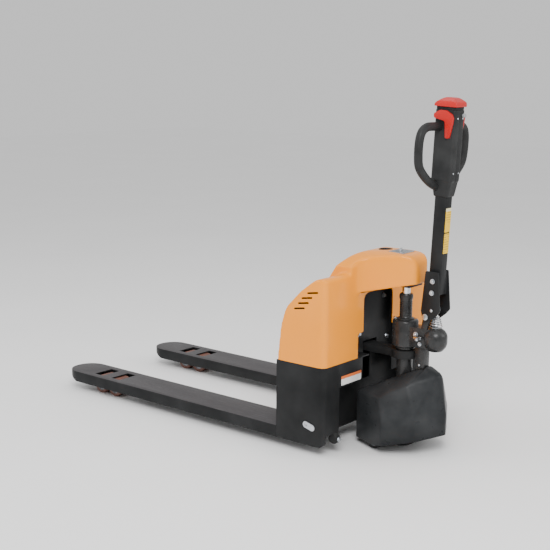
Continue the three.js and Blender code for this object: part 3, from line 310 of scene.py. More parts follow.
def painted_casting(name, colour):
    """Sand-cast iron under black enamel: grainy skin of about 1.5 mm with smoother machined patches."""
    made, tree, where = start(name)
    cloud = add_node(tree, "ShaderNodeTexNoise", {"Vector": where, "Scale": per_metre(35), "Detail": 6.0})
    tone = blend_colours(tree, cloud.outputs["Fac"], lighter(colour, -0.4), lighter(colour, 0.05))
    gloss = add_node(tree, "ShaderNodeMapRange", {"Value": cloud.outputs["Fac"], "From Min": 0.3,
                                                  "From Max": 0.7, "To Min": 0.16, "To Max": 0.34})
    sand = add_node(tree, "ShaderNodeTexNoise", {"Vector": where, "Scale": per_metre(1.6), "Detail": 5.0})
    bump = relief(tree, sand.outputs["Fac"], 0.35, 0.0005)
    close(tree, tone, gloss.outputs[0], bump.outputs[0], IOR=1.5, Specular_IOR_Level=0.3)
    return made


def plated_steel(name, colour, low=0.2, high=0.38, lines_mm=0.8):
    """Zinc-plated steel: bright, a little blue, with machining lines and faint passivation stains."""
    made, tree, where = start(name)
    stain = add_node(tree, "ShaderNodeTexNoise", {"Vector": where, "Scale": per_metre(18), "Detail": 5.0})
    tone = blend_colours(tree, stain.outputs["Fac"], lighter(colour, -0.18), lighter(colour, 0.15))
    turn = add_node(tree, "ShaderNodeMapping", {"Vector": where, "Scale": (0.08, 1.0, 1.0)})
    tool = add_node(tree, "ShaderNodeTexNoise", {"Vector": turn.outputs[0], "Scale": per_metre(lines_mm),
                                                 "Detail": 3.0})
    gloss = spread(tree, tool.outputs["Fac"], low, high)
    bump = relief(tree, tool.outputs["Fac"], 0.08, 0.0002)
    close(tree, tone, gloss.outputs[0], bump.outputs[0], Metallic=1.0)
    return made


def cast_urethane(name, colour):
    """Cast polyurethane tread: brown, slightly see-through at the edges, with rolled-in dirt bands."""
    made, tree, where = start(name)
    dirt = add_node(tree, "ShaderNodeTexNoise", {"Vector": where, "Scale": per_metre(14), "Detail": 7.0})
    tone = blend_colours(tree, dirt.outputs["Fac"], lighter(colour, -0.45), lighter(colour, 0.06))
    gloss = spread(tree, dirt.outputs["Fac"], 0.28, 0.55)
    fine = add_node(tree, "ShaderNodeTexNoise", {"Vector": where, "Scale": per_metre(2.5), "Detail": 4.0})
    bump = relief(tree, fine.outputs["Fac"], 0.15, 0.0005)
    close(tree, tone, gloss.outputs[0], bump.outputs[0], IOR=1.5, Subsurface_Weight=0.08,
          Subsurface_Scale=0.004)
    return made


def printed_film(name, base, band, axis, edge_mm, line_mm, ink):
    """Screen-printed vinyl film: one solid band and rows of plain ink bars, under a clear laminate."""
    made, tree, where = start(name)
    split = add_node(tree, "ShaderNodeSeparateXYZ", {"Vector": where})
    height = split.outputs[axis]
    row = product(tree, height, per_metre(line_mm))
    part = add_node(tree, "ShaderNodeMath", {0: row.outputs[0]}, operation="FRACT")
    inked = add_node(tree, "ShaderNodeMath", {0: part.outputs[0], 1: 0.62}, operation="GREATER_THAN")
    gaps = add_node(tree, "ShaderNodeTexNoise", {"Vector": where, "Scale": per_metre(26), "Detail": 0.0})
    broken = add_node(tree, "ShaderNodeMath", {0: gaps.outputs["Fac"], 1: 0.5}, operation="GREATER_THAN")
    bars = product(tree, inked.outputs[0], broken.outputs[0])
    soft = product(tree, bars.outputs[0], 0.45)
    tone = blend_colours(tree, soft.outputs[0], base, ink)
    over = add_node(tree, "ShaderNodeMath", {0: height, 1: edge_mm * MM}, operation="GREATER_THAN")
    tone = blend_colours(tree, over.outputs[0], tone, band)
    worn = add_node(tree, "ShaderNodeTexNoise", {"Vector": where, "Scale": per_metre(6), "Detail": 5.0})
    gloss = spread(tree, worn.outputs["Fac"], 0.3, 0.5)
    close(tree, tone, gloss.outputs[0], IOR=1.5)
    return made


MATERIALS = {}


def make_materials(colours):
    """Every finish on the truck, by a short name."""
    c = {key: tuple(getattr(colours, key)) for key in JackColours.__annotations__}
    MATERIALS.update(
        powder=powder_coat("powder_coated_steel", c["powder"]),
        fork=powder_coat("powder_coated_fork_steel", c["powder"], scuffs_and_top_sheen=True),
        orange=glossy_abs("gloss_abs_orange", c["orange"]),
        red=glossy_abs("gloss_abs_red", c["red"], 0.1),
        moulding=grained_plastic("glass_filled_nylon_black", c["moulding"], 1.0, 0.34, 0.5),
        skirt=grained_plastic("moulded_polyethylene_skirt", c["skirt"], 1.6, 0.26, 0.4),
        casting=painted_casting("enamelled_cast_iron", c["casting"]),
        zinc=plated_steel("zinc_plated_steel", c["zinc"]),
        chrome=plated_steel("hard_chrome_ground", c["chrome"], 0.05, 0.12, 0.4),
        steel=plated_steel("bright_drawn_steel", linear("#7A7D82"), 0.3, 0.5, 0.6),
        urethane=cast_urethane("cast_urethane_brown", c["urethane"]),
        rubber=grained_plastic("moulded_rubber", linear("#060707"), 0.9, 0.6, 0.8, 0.3),
        grey=grained_plastic("moulded_console_grey", c["grey"], 0.8, 0.35, 0.5, 0.12),
        lens=glossy_abs("polycarbonate_lens_dark", linear("#0A0D10"), 0.6),
        battery=grained_plastic("polypropylene_battery_case", linear("#121316"), 0.9),
        label=printed_film("printed_vinyl_white", linear("#E9E8E4"), linear("#E2743A"), "Z",
                           CASING_TOP - 61, 5.0, linear("#9AA0A6")),
        decal=printed_film("printed_vinyl_yellow", c["yellow"], linear("#D8CFA6"), "Z",
                           TILT_Z + 392, 9.0, linear("#6B5B1C")),
    )


# ---------------------------------------------------------------- modelling helpers
def rounded(corners, steps=6):
    """Corner points (a, b, radius) as an outline with round corners."""
    points = []
    for i, corner in enumerate(corners):
        here = Vector(corner[:2])
        radius = corner[2] if len(corner) > 2 else 0
        if not radius:
            points.append(here)
            continue
        u = (Vector(corners[i - 1][:2]) - here).normalized()
        v = (Vector(corners[(i + 1) % len(corners)][:2]) - here).normalized()
        half = u.angle(v) / 2
        centre = here + (u + v).normalized() * (radius / math.sin(half))
        first = here + u * (radius / math.tan(half)) - centre
        last = here + v * (radius / math.tan(half)) - centre
        sweep = first.angle_signed(last)
        for k in range(steps + 1):
            points.append(centre + Matrix.Rotation(-sweep * k / steps, 2) @ first)
    return points


PLANES = {"xy": lambda a, b, c: (a, b, c), "xz": lambda a, b, c: (a, c, b), "yz": lambda a, b, c: (c, a, b)}


def slab(bm, plane, points, low, high):
    """An outline in a plane, extruded between two levels of the third axis."""
    at = PLANES[plane]
    face = bm.faces.new([bm.verts.new(at(p[0], p[1], low)) for p in points])
    grown = bmesh.ops.extrude_face_region(bm, geom=[face])["geom"]
    moved = [g for g in grown if isinstance(g, bmesh.types.BMVert)]
    bmesh.ops.translate(bm, verts=moved, vec=Vector(at(0, 0, high - low)))
    return moved


def block(bm, x0, x1, y0, y1, z0, z1):
    """A box between six faces."""
    middle = Vector(((x0 + x1) / 2, (y0 + y1) / 2, (z0 + z1) / 2))
    size = Matrix.Diagonal((x1 - x0, y1 - y0, z1 - z0, 1))
    return bmesh.ops.create_cube(bm, size=1, matrix=Matrix.Translation(middle) @ size)["verts"]


AXES = {"x": Matrix.Rotation(math.pi / 2, 4, "Y"), "y": Matrix.Rotation(-math.pi / 2, 4, "X"),
        "z": Matrix.Identity(4)}


def turned(bm, profile, axis="z", at=(0, 0, 0), steps=None, closed=False):
    """Spins (radius, distance along the axis) points right round an axis through a point."""
    before = set(bm.verts)
    chain = [bm.verts.new((r, 0, z)) for r, z in profile]
    pairs = list(zip(chain, chain[1:])) + ([(chain[-1], chain[0])] if closed else [])
    edges = [bm.edges.new(pair) for pair in pairs]
    bmesh.ops.spin(bm, geom=chain + edges, cent=(0, 0, 0), axis=(0, 0, 1), dvec=(0, 0, 0),
                   angle=2 * math.pi, steps=steps or sizes().turn_steps, use_merge=True)
    made = [v for v in bm.verts if v not in before]
    bmesh.ops.remove_doubles(bm, verts=made, dist=0.001)
    made = [v for v in bm.verts if v not in before]
    bmesh.ops.transform(bm, matrix=Matrix.Translation(at) @ AXES[axis], verts=made)
    return made


def both_ends(half_profile):
    """A profile and its mirror image across the middle of a wheel."""
    return half_profile + [(r, -z) for r, z in reversed(half_profile)]


def drum(bm, axis, radius, low, high, at=(0, 0, 0), edge=1.0, bore=0.0, steps=None):
    """A turned cylinder or ring with broken edges."""
    r, e = radius, edge
    if bore:
        profile = [(bore, low), (r - e, low), (r, low + e), (r, high - e), (r - e, high), (bore, high)]
        return turned(bm, profile, axis, at, steps, closed=True)
    profile = [(0, low), (r - e, low), (r - 0.3 * e, low + 0.3 * e), (r, low + e), (r, high - e),
               (r - 0.3 * e, high - 0.3 * e), (r - e, high), (0, high)]
    return turned(bm, profile, axis, at, steps)


def tube_along(bm, points, radius, sides):
    """A round bar swept along points, its ends capped."""
    loops = []
    last = None
    for i, point in enumerate(points):
        ahead = Vector(points[min(i + 1, len(points) - 1)]) - Vector(points[max(i - 1, 0)])
        turn = ahead.to_track_quat("Z", "Y") if last is None else last
        if last is not None:
            turn = (last @ Vector((0, 0, 1))).rotation_difference(ahead.normalized()) @ last
        last = turn
        place = Matrix.Translation(point) @ turn.to_matrix().to_4x4()
        ring = bmesh.ops.create_circle(bm, segments=sides, radius=radius, matrix=place)["verts"]
        loops.append(list({e for v in ring for e in v.link_edges}))
    for first, second in zip(loops, loops[1:]):
        bmesh.ops.bridge_loops(bm, edges=first + second)
    bmesh.ops.holes_fill(bm, edges=loops[0] + loops[-1], sides=0)


def curve_through(points, steps=8):
    """Points on a smooth curve through the given ones."""
    pts = [Vector(p) for p in points]
    full = [2 * pts[0] - pts[1], *pts, 2 * pts[-1] - pts[-2]]
    made = []
    for i in range(1, len(full) - 2):
        a, b, c, d = full[i - 1:i + 3]
        for k in range(steps):
            t = k / steps
            made.append(0.5 * (2 * b + (c - a) * t + (2 * a - 5 * b + 4 * c - d) * t * t
                               + (3 * b - a - 3 * c + d) * t ** 3))
    return made + [pts[-1]]


def link_outline(a0, b0, r0, a1, b1, r1, steps=14):
    """The outline of a lug with a round end about each of two points."""
    angle = math.atan2(b1 - b0, a1 - a0)
    points = []
    for (a, b, r), turn in (((a0, b0, r0), math.pi / 2), ((a1, b1, r1), -math.pi / 2)):
        for k in range(steps + 1):
            t = angle + turn + math.pi * k / steps
            points.append((a + r * math.cos(t), b + r * math.sin(t)))
    return points


def soften(bm, width, segments, angle):
    """Rounds every edge sharper than an angle."""
    bm.normal_update()
    chosen = [e for e in bm.edges
              if len(e.link_faces) == 2 and e.calc_face_angle(0.0) > math.radians(angle)]
    if chosen:
        bmesh.ops.bevel(bm, geom=chosen, offset=width, offset_type="OFFSET", segments=segments, profile=0.5,
                        affect="EDGES", material=-1, clamp_overlap=True)


def evaluated(bm, build):
    """Passes a mesh through modifiers that build(object) adds, and puts the result back."""
    mesh = bpy.data.meshes.new("working")
    bm.to_mesh(mesh)
    thing = bpy.data.objects.new("working", mesh)
    bpy.context.scene.collection.objects.link(thing)
    build(thing)
    graph = bpy.context.evaluated_depsgraph_get()
    result = bpy.data.meshes.new_from_object(thing.evaluated_get(graph), depsgraph=graph)
    bm.clear()
    bm.from_mesh(result)
    bpy.data.objects.remove(thing)
    bpy.data.meshes.remove(mesh)
    bpy.data.meshes.remove(result)


def combine(bm, tool, operation):
    """Boolean of two closed meshes; faces that come from the tool get material index 1."""
    for face in tool.faces:
        face.material_index = 1
    mesh = bpy.data.meshes.new("tool")
    bmesh.ops.recalc_face_normals(tool, faces=tool.faces)
    tool.to_mesh(mesh)
    other = bpy.data.objects.new("tool", mesh)
    bpy.context.scene.collection.objects.link(other)
    slots = [bpy.data.materials.get(n) or bpy.data.materials.new(n) for n in ("first", "second")]
    for slot_material in slots:
        mesh.materials.append(slot_material)
    bmesh.ops.recalc_face_normals(bm, faces=bm.faces)

    def build(thing):
        for slot_material in slots:
            thing.data.materials.append(slot_material)
        modifier = thing.modifiers.new("combine", "BOOLEAN")
        modifier.object = other
        modifier.operation = operation
        modifier.solver = "EXACT"
        modifier.material_mode = "INDEX"

    evaluated(bm, build)
    bpy.data.objects.remove(other)
    bpy.data.meshes.remove(mesh)
    tool.free()


def moulded(bm, voxel, passes):
    """Melts overlapping closed shapes into one soft skin, as a mould gives."""
    def build(thing):
        thing.data.transform(Matrix.Scale(MM, 4))
        remesh = thing.modifiers.new("skin", "REMESH")
        remesh.mode = "VOXEL"
        remesh.voxel_size = voxel * MM
        remesh.use_smooth_shade = True

    evaluated(bm, build)
    bmesh.ops.scale(bm, vec=(1 / MM,) * 3, verts=bm.verts)
    for _ in range(passes):
        bmesh.ops.smooth_vert(bm, verts=bm.verts, factor=0.5, use_axis_x=True, use_axis_y=True,
                              use_axis_z=True)


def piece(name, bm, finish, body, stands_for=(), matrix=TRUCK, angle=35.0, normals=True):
    """Finishes a mesh as an object that rides on a body; matrix takes its millimetres to the frame."""
    bmesh.ops.remove_doubles(bm, verts=bm.verts, dist=0.0005 if matrix is not None else 5e-7)
    if normals:
        bmesh.ops.recalc_face_normals(bm, faces=bm.faces)
    for face in bm.faces:
        face.material_index = 0
        face.smooth = True
    mesh = bpy.data.meshes.new(name)
    if matrix is not None:
        bmesh.ops.transform(bm, matrix=matrix, verts=bm.verts)
    bm.to_mesh(mesh)
    bm.free()
    mesh.set_sharp_from_angle(angle=math.radians(angle))
    mesh.materials.append(MATERIALS[finish])
    made = bpy.data.objects.new(name, mesh)
    bpy.context.scene.collection.objects.link(made)
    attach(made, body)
    if stands_for:
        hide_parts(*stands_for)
    return made


def node_mesh(node):
    """A copy of a CAD node with its triangles merged back to flat faces, in metres."""
    bm = bmesh.new()
    bm.from_mesh(frame["nodes"][node].data)
    bmesh.ops.remove_doubles(bm, verts=bm.verts, dist=2e-6)
    bmesh.ops.dissolve_limit(bm, angle_limit=math.radians(0.8), verts=bm.verts, edges=bm.edges)
    return bm


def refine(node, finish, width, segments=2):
    """A CAD node with its edges rounded as pressing, casting or deburring leaves them."""
    bm = node_mesh(node)
    soften(bm, width * MM, segments, CREASE)
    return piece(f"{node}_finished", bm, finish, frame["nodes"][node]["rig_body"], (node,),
                 matrix=None, angle=CREASE, normals=False)


def hex_bolt(bm, axis, at, across, head):
    """A hexagon head with a chamfered rim, a washer under it and a rounded point."""
    toward = 1 if head > 0 else -1
    made = turned(bm, [(0, 0), (across * 0.78, 0), (across * 0.78, toward * 1.6), (0, toward * 1.6)], "z",
                  (0, 0, 0), 32)
    ring = bmesh.ops.create_cone(bm, cap_ends=True, segments=6, radius1=across / 2 / math.cos(math.pi / 6),
                                 radius2=across / 2 / math.cos(math.pi / 6), depth=abs(head),
                                 matrix=Matrix.Translation((0, 0, toward * 1.6 + head / 2)))["verts"]
    tip = toward * 1.6 + head
    made += ring + turned(bm, [(0, tip - toward), (across * 0.45, tip - toward), (across * 0.45, tip),
                               (across * 0.38, tip + toward * 0.8), (0, tip + toward * 0.8)],
                          "z", (0, 0, 0), 32)
    bmesh.ops.transform(bm, matrix=Matrix.Translation(at) @ AXES[axis], verts=made)
    return made


def pan_screw(bm, axis, at, radius, height, facing=1):
    """A domed screw head with a round driver recess."""
    r, h = radius, height * facing
    profile = [(0, 0), (r, 0), (r, h * 0.35), (r * 0.9, h * 0.7), (r * 0.65, h * 0.95), (r * 0.42, h),
               (r * 0.34, h * 0.55), (0, h * 0.5)]
    return turned(bm, profile, axis, at, 28)


def sizes():
    """The size settings of this scene."""
    return bpy.context.scene.jack_sizes


# ---------------------------------------------------------------- body cover and console
STOP_X = REAR - 27
TRAY = (-352.0, -283.0, 40.0)            # console tray: rear, front, half-width
TRAY_Z = COVER_TOP - 14
VENTS = ((-106, 210), (-124, 232), (-140, 253), (-166, 275))   # slot centres, above the casing


def cover_blank():
    """The closed outer form: sloping body and raised centre melted into one moulded skin."""
    t = CASING_TOP
    top = COVER_TOP
    body = bmesh.new()
    side = rounded([(-1, t - 12), (-1, t), (-7, t + 56), (-16, t + 134, 200), (-38, t + 204, 90),
                    (-108, t + 275, 200), (-178, t + 327, 60), (REAR, t + 329, 14), (REAR, t - 12)])
    slab(body, "xz", side, -HALF, HALF)
    plan = bmesh.new()
    corners = [(5, -HALF, 14), (5, HALF, 14), (REAR, HALF, 20), (REAR, -HALF, 20)]
    slab(plan, "xy", rounded(corners), t - 20, 760)
    combine(body, plan, "INTERSECT")
    hump = bmesh.new()
    slab(hump, "xz", rounded([(-80, t + 219), (COVER_TAIL, t + 289), (COVER_TAIL, top - 10, 40),
                              (-280, top, 300), (-176, top - 8, 60), (-100, t + 282, 30)]), -200, 200)
    plan = bmesh.new()
    outline = [(-90, FRONT_HALF), (REAR, FRONT_HALF), (REAR, ROOT_HALF, 60), (COVER_TAIL, TAIL_HALF, 22)]
    mirrored = [(x, -y, *r) for x, y, *r in reversed(outline)]
    slab(plan, "xy", rounded(outline + mirrored, 12), 400, 800)
    combine(hump, plan, "INTERSECT")
    crown = bmesh.new()
    arc = [(CROWN_R * math.sin(math.radians(a)), top - CROWN_R + CROWN_R * math.cos(math.radians(a)))
           for a in range(-38, 39, 2)]
    slab(crown, "yz", [*arc, (215, 400), (-215, 400)], -460, 0)
    combine(hump, crown, "INTERSECT")
    mesh = bpy.data.meshes.new("hump")
    hump.to_mesh(mesh)
    hump.free()
    body.from_mesh(mesh)
    bpy.data.meshes.remove(mesh)
    moulded(body, sizes().cover_voxel, sizes().cover_passes)
    return body


def cover_openings():
    """Everything the cover is open to: underside and vents, then the arch, then cup and tray."""
    t = CASING_TOP

    def under(x):
        """Level of the raised centre's underside, which climbs to the rear."""
        return t + 224 + (-80 - x) / (-80 - COVER_TAIL) * 70

    tools = [bmesh.new() for _ in range(3)]
    block(tools[0], -300, 60, -400, 400, t - 60, t)
    slab(tools[0], "xz", [(REAR - 8, under(REAR)), (-460, under(-460)), (-460, t + 100), (REAR - 8, t + 100)],
         -240, 240)
    for x, z in VENTS:
        slope = 25 * math.sin(math.radians(8))
        r = sizes().vent_height / 2
        for _, s in SIDES:
            slab(tools[0], "xz", link_outline(x - 22, t + z + slope, r, x + 22, t + z - slope, r, 6),
                 s * (HALF - 9), s * (HALF + 6))
    half_arch = [(130, t - 20), (130, t + 93, 10), (97, t + 97, 4), (97, t + 245, 30)]
    other_half = [(-y, z, *r) for y, z, *r in reversed(half_arch)]
    slab(tools[1], "yz", rounded(half_arch + other_half), REAR - 14, REAR + 7)
    drum(tools[2], "z", 27.6, TRAY_Z - 18, COVER_TOP + 20, (STOP_X, 0, 0), 0.5)
    block(tools[2], TRAY[0] - 0.4, TRAY[1] + 0.4, -TRAY[2] - 0.4, TRAY[2] + 0.4, TRAY_Z - 14, COVER_TOP + 20)
    return tools


class JACK_OT_materials(bpy.types.Operator):
    """Makes the finishes"""

    bl_idname = "jack.materials"
    bl_label = "Finishes"

    def execute(self, context):
        make_materials(context.scene.jack_colours)
        return {"FINISHED"}


class JACK_OT_cover(bpy.types.Operator):
    """Orange moulded cover with its raised centre, arch and vents"""

    bl_idname = "jack.cover"
    bl_label = "Body cover"

    def execute(self, context):
        bm = cover_blank()
        for tool in cover_openings():
            combine(bm, tool, "DIFFERENCE")
        cut = [f for f in bm.faces if f.material_index == 1]
        bmesh.ops.delete(bm, geom=cut, context="FACES")
        bmesh.ops.remove_doubles(bm, verts=bm.verts, dist=0.02)
        bmesh.ops.recalc_face_normals(bm, faces=bm.faces)
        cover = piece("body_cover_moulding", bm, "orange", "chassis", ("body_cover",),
                      angle=50.0, normals=False)
        wall = cover.modifiers.new("wall", "SOLIDIFY")
        wall.thickness = sizes().cover_wall * MM
        wall.offset = -1.0
        return {"FINISHED"}


class JACK_OT_console(bpy.types.Operator):
    """Stop button in its cup, console tray, gauge and key switch"""

    bl_idname = "jack.console"
    bl_label = "Console"

    def execute(self, context):
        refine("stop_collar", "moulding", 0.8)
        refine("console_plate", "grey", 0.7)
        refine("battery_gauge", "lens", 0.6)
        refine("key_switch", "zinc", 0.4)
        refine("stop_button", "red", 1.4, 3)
        bars = bmesh.new()
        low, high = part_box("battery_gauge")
        x = (low.x + high.x) / 2 / MM - HEEL
        for i in range(5):
            drum(bars, "z", 1.6, high.z / MM - 0.4, high.z / MM + 0.5, (x, -16 + 8 * i, 0), 0.4, steps=16)
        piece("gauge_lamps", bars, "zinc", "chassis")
        return {"FINISHED"}


# ---------------------------------------------------------------- steelwork
class JACK_OT_forks(bpy.types.Operator):
    """Two channel forks, worn a little on top, with a painted sheen over their top faces"""

    bl_idname = "jack.forks"
    bl_label = "Forks"

    def execute(self, context):
        for side, _ in SIDES:
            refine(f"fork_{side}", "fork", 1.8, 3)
        return {"FINISHED"}


class JACK_OT_casings(bpy.types.Operator):
    """Folded side casings with their keeper plates and rubber buffers"""

    bl_idname = "jack.casings"
    bl_label = "Casings"

    def execute(self, context):
        for side, _ in SIDES:
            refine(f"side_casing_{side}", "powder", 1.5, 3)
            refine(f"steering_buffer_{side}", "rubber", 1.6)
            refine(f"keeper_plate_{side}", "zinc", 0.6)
        return {"FINISHED"}


class JACK_OT_plates(bpy.types.Operator):
    """Chassis plates and the beam over the ram"""

    bl_idname = "jack.plates"
    bl_label = "Chassis plates"

    def execute(self, context):
        for node in ("front_plate", "rear_bulkhead", "equipment_shelf", "tower_panel", "head_bracket"):
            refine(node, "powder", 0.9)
        return {"FINISHED"}


class JACK_OT_linkage(bpy.types.Operator):
    """Lifting links: yoke, rocker, push rods, load arms, bogies and their pins"""

    bl_idname = "jack.linkage"
    bl_label = "Lift linkage"

    def execute(self, context):
        for side, _ in SIDES:
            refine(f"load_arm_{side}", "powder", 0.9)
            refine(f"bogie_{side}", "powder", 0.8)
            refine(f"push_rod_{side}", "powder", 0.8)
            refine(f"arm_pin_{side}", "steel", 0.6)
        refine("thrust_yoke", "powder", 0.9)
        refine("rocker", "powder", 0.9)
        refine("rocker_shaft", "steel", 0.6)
        return {"FINISHED"}


class JACK_OT_power(bpy.types.Operator):
    """Batteries, controller, drive frame and traction motor"""

    bl_idname = "jack.power"
    bl_label = "Batteries and drive"

    def execute(self, context):
        for side, _ in SIDES:
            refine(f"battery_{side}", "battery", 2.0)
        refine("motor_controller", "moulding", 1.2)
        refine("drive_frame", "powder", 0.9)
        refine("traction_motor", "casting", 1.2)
        return {"FINISHED"}


class JACK_OT_tiller_steel(bpy.types.Operator):
    """Forked tiller base, tube, tilt pin and cam roller"""

    bl_idname = "jack.tiller_steel"
    bl_label = "Tiller steelwork"

    def execute(self, context):
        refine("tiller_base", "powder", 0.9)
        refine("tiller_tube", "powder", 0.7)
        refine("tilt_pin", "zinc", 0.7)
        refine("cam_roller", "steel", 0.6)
        return {"FINISHED"}


class JACK_OT_fasteners(bpy.types.Operator):
    """Bolts, screws and washers that hold the steelwork"""

    bl_idname = "jack.fasteners"
    bl_label = "Fasteners"

    def execute(self, context):
        chassis = bmesh.new()
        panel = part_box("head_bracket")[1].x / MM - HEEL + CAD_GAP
        for y, z in ((110, 380), (-110, 380), (78, 420), (78, 560), (-85, 545)):
            hex_bolt(chassis, "x", (panel, y, z), 13, -7)
        for _, s in SIDES:
            hex_bolt(chassis, "x", (-236, s * 262, 60), 13, -6)
            for x, z in ((-172, 110.3), (-144, 117.8)):
                pan_screw(chassis, "y", (x, s * (HALF + 1.2), z), 5, 1.7, s)
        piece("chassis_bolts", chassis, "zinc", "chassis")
        unit = bmesh.new()
        for _, s in SIDES:
            drum(unit, "y", 12, s * 38.2 if s > 0 else -41, 41 if s > 0 else -38.2, (TILT_X, 0, TILT_Z), 0.8)
            drum(unit, "y", 7, 38.2 if s > 0 else -44, 44 if s > 0 else -38.2, (TILT_X, 0, TILT_Z), 1.2)
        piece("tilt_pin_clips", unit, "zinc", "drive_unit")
        base = bmesh.new()
        for _, s in SIDES:
            for x, z in ((-480, 655), (-478, 612)):
                hex_bolt(base, "y", (x, s * PLATE_Y, z), 12, s * 6)
            pan_screw(base, "y", (PLUNGER_X, s * PLATE_Y, CAM_Z), 6, 3, s)
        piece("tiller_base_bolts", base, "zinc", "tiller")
        return {"FINISHED"}


class JACK_OT_wheels(bpy.types.Operator):
    """Load rollers, stabiliser wheels and the drive wheel"""

    bl_idname = "jack.wheels"
    bl_label = "Wheels"

    def execute(self, context):
        names = [f"load_roller_{end}_{side}" for side, _ in SIDES for end in ("front", "rear")]
        for name in names + [f"stabiliser_wheel_{side}" for side, _ in SIDES]:
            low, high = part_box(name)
            centre = (low + high) / 2 / MM
            at = (centre.x - HEEL, centre.y, centre.z)
            r, half = (high.z - low.z) / 2 / MM, (high.y - low.y) / 2 / MM
            core = r * HUB_SHARE
            tread = bmesh.new()
            rim = [(core, -half + 1), (r - 3, -half), (r - 0.9, -half + 1), (r, -half + 3.5)]
            turned(tread, both_ends(rim), "y", at, closed=True)
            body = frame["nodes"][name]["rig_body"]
            small = "stabiliser" in name
            piece(f"{name}_tread", tread, "rubber" if small else "urethane", body,
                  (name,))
            hub = bmesh.new()
            face = [(9, -half + 0.5), (core * 0.55, -half + 0.5), (core * 0.62, -half + 3),
                    (core - 2.5, -half + 3), (core - 1.5, -half + 1.2), (core, -half + 1.2)]
            turned(hub, both_ends(face), "y", at, closed=True)
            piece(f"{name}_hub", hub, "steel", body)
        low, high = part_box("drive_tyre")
        r, half = (high.z - low.z) / 2 / MM, (high.y - low.y) / 2 / MM
        tyre = bmesh.new()
        shoulder = [(r - 22, -half + 1), (r - 6, -half), (r - 1.5, -half + 2), (r, -half + 7)]
        turned(tyre, both_ends(shoulder), "y", (STEER_X, 0, r), closed=True)
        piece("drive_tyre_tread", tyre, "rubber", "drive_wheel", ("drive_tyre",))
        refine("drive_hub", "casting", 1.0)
        return {"FINISHED"}


# ---------------------------------------------------------------- drive unit
class JACK_OT_drive_cover(bpy.types.Operator):
    """Faceted black cover over the drive wheel"""

    bl_idname = "jack.drive_cover"
    bl_label = "Drive cover"

    def execute(self, context):
        bm = bmesh.new()
        corners = ((146, 103, 10, 205), (-15, 169, 10, 150), (8, 160, 214), (-124, 117, 10, 154),
                   (-190, 0, 10, 152), (-78, 98, 268), (-62, 44, 306), (-103, 20, 325), (-160, 14, 300))
        for x, y, *levels in corners:
            for z in levels:
                for s in ((1, -1) if y else (1,)):
                    bm.verts.new((STEER_X + x, s * y, z))
        bmesh.ops.convex_hull(bm, input=bm.verts)
        bmesh.ops.dissolve_limit(bm, angle_limit=math.radians(1.5), verts=bm.verts, edges=bm.edges)
        soften(bm, sizes().skirt_edge, 4, 8.0)
        tool = bmesh.new()
        below_hem = [(STEER_X + 220, -5), (STEER_X + 220, HEM_Z), (STEER_X + 40, HEM_Z), (STEER_X - 210, 80),
                     (STEER_X - 210, -5)]
        slab(tool, "xz", below_hem, -220, 220)
        combine(bm, tool, "DIFFERENCE")
        tool = bmesh.new()
        drum(tool, "z", THROAT_R, 190, 375, (STEER_X, 0, 0), 0.5)
        combine(bm, tool, "DIFFERENCE")
        tool = bmesh.new()
        block(tool, STEER_X - 104, STEER_X, -30, 30, 226, 380)
        combine(bm, tool, "DIFFERENCE")
        hollow = [f for f in bm.faces if f.normal.z < -0.9
                  or (abs(f.calc_center_median().y) < 36.1 and abs(f.normal.z) < 0.12
                      and STEER_X - 104.5 < f.calc_center_median().x < STEER_X + 36.5
                      and f.calc_center_median().z > HEM_Z + 100)
                  or (f.normal.z > 0.98 and f.calc_center_median().z < 232
                      and (f.calc_center_median().xy - Vector((STEER_X - 30, 0))).length < 90)]
        bmesh.ops.delete(bm, geom=hollow, context="FACES")
        bmesh.ops.recalc_face_normals(bm, faces=bm.faces)
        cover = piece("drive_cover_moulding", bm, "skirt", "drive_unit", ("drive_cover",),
                      angle=40.0, normals=False)
        wall = cover.modifiers.new("wall", "SOLIDIFY")
        wall.thickness = 3.5 * MM
        wall.offset = -1.0
        return {"FINISHED"}


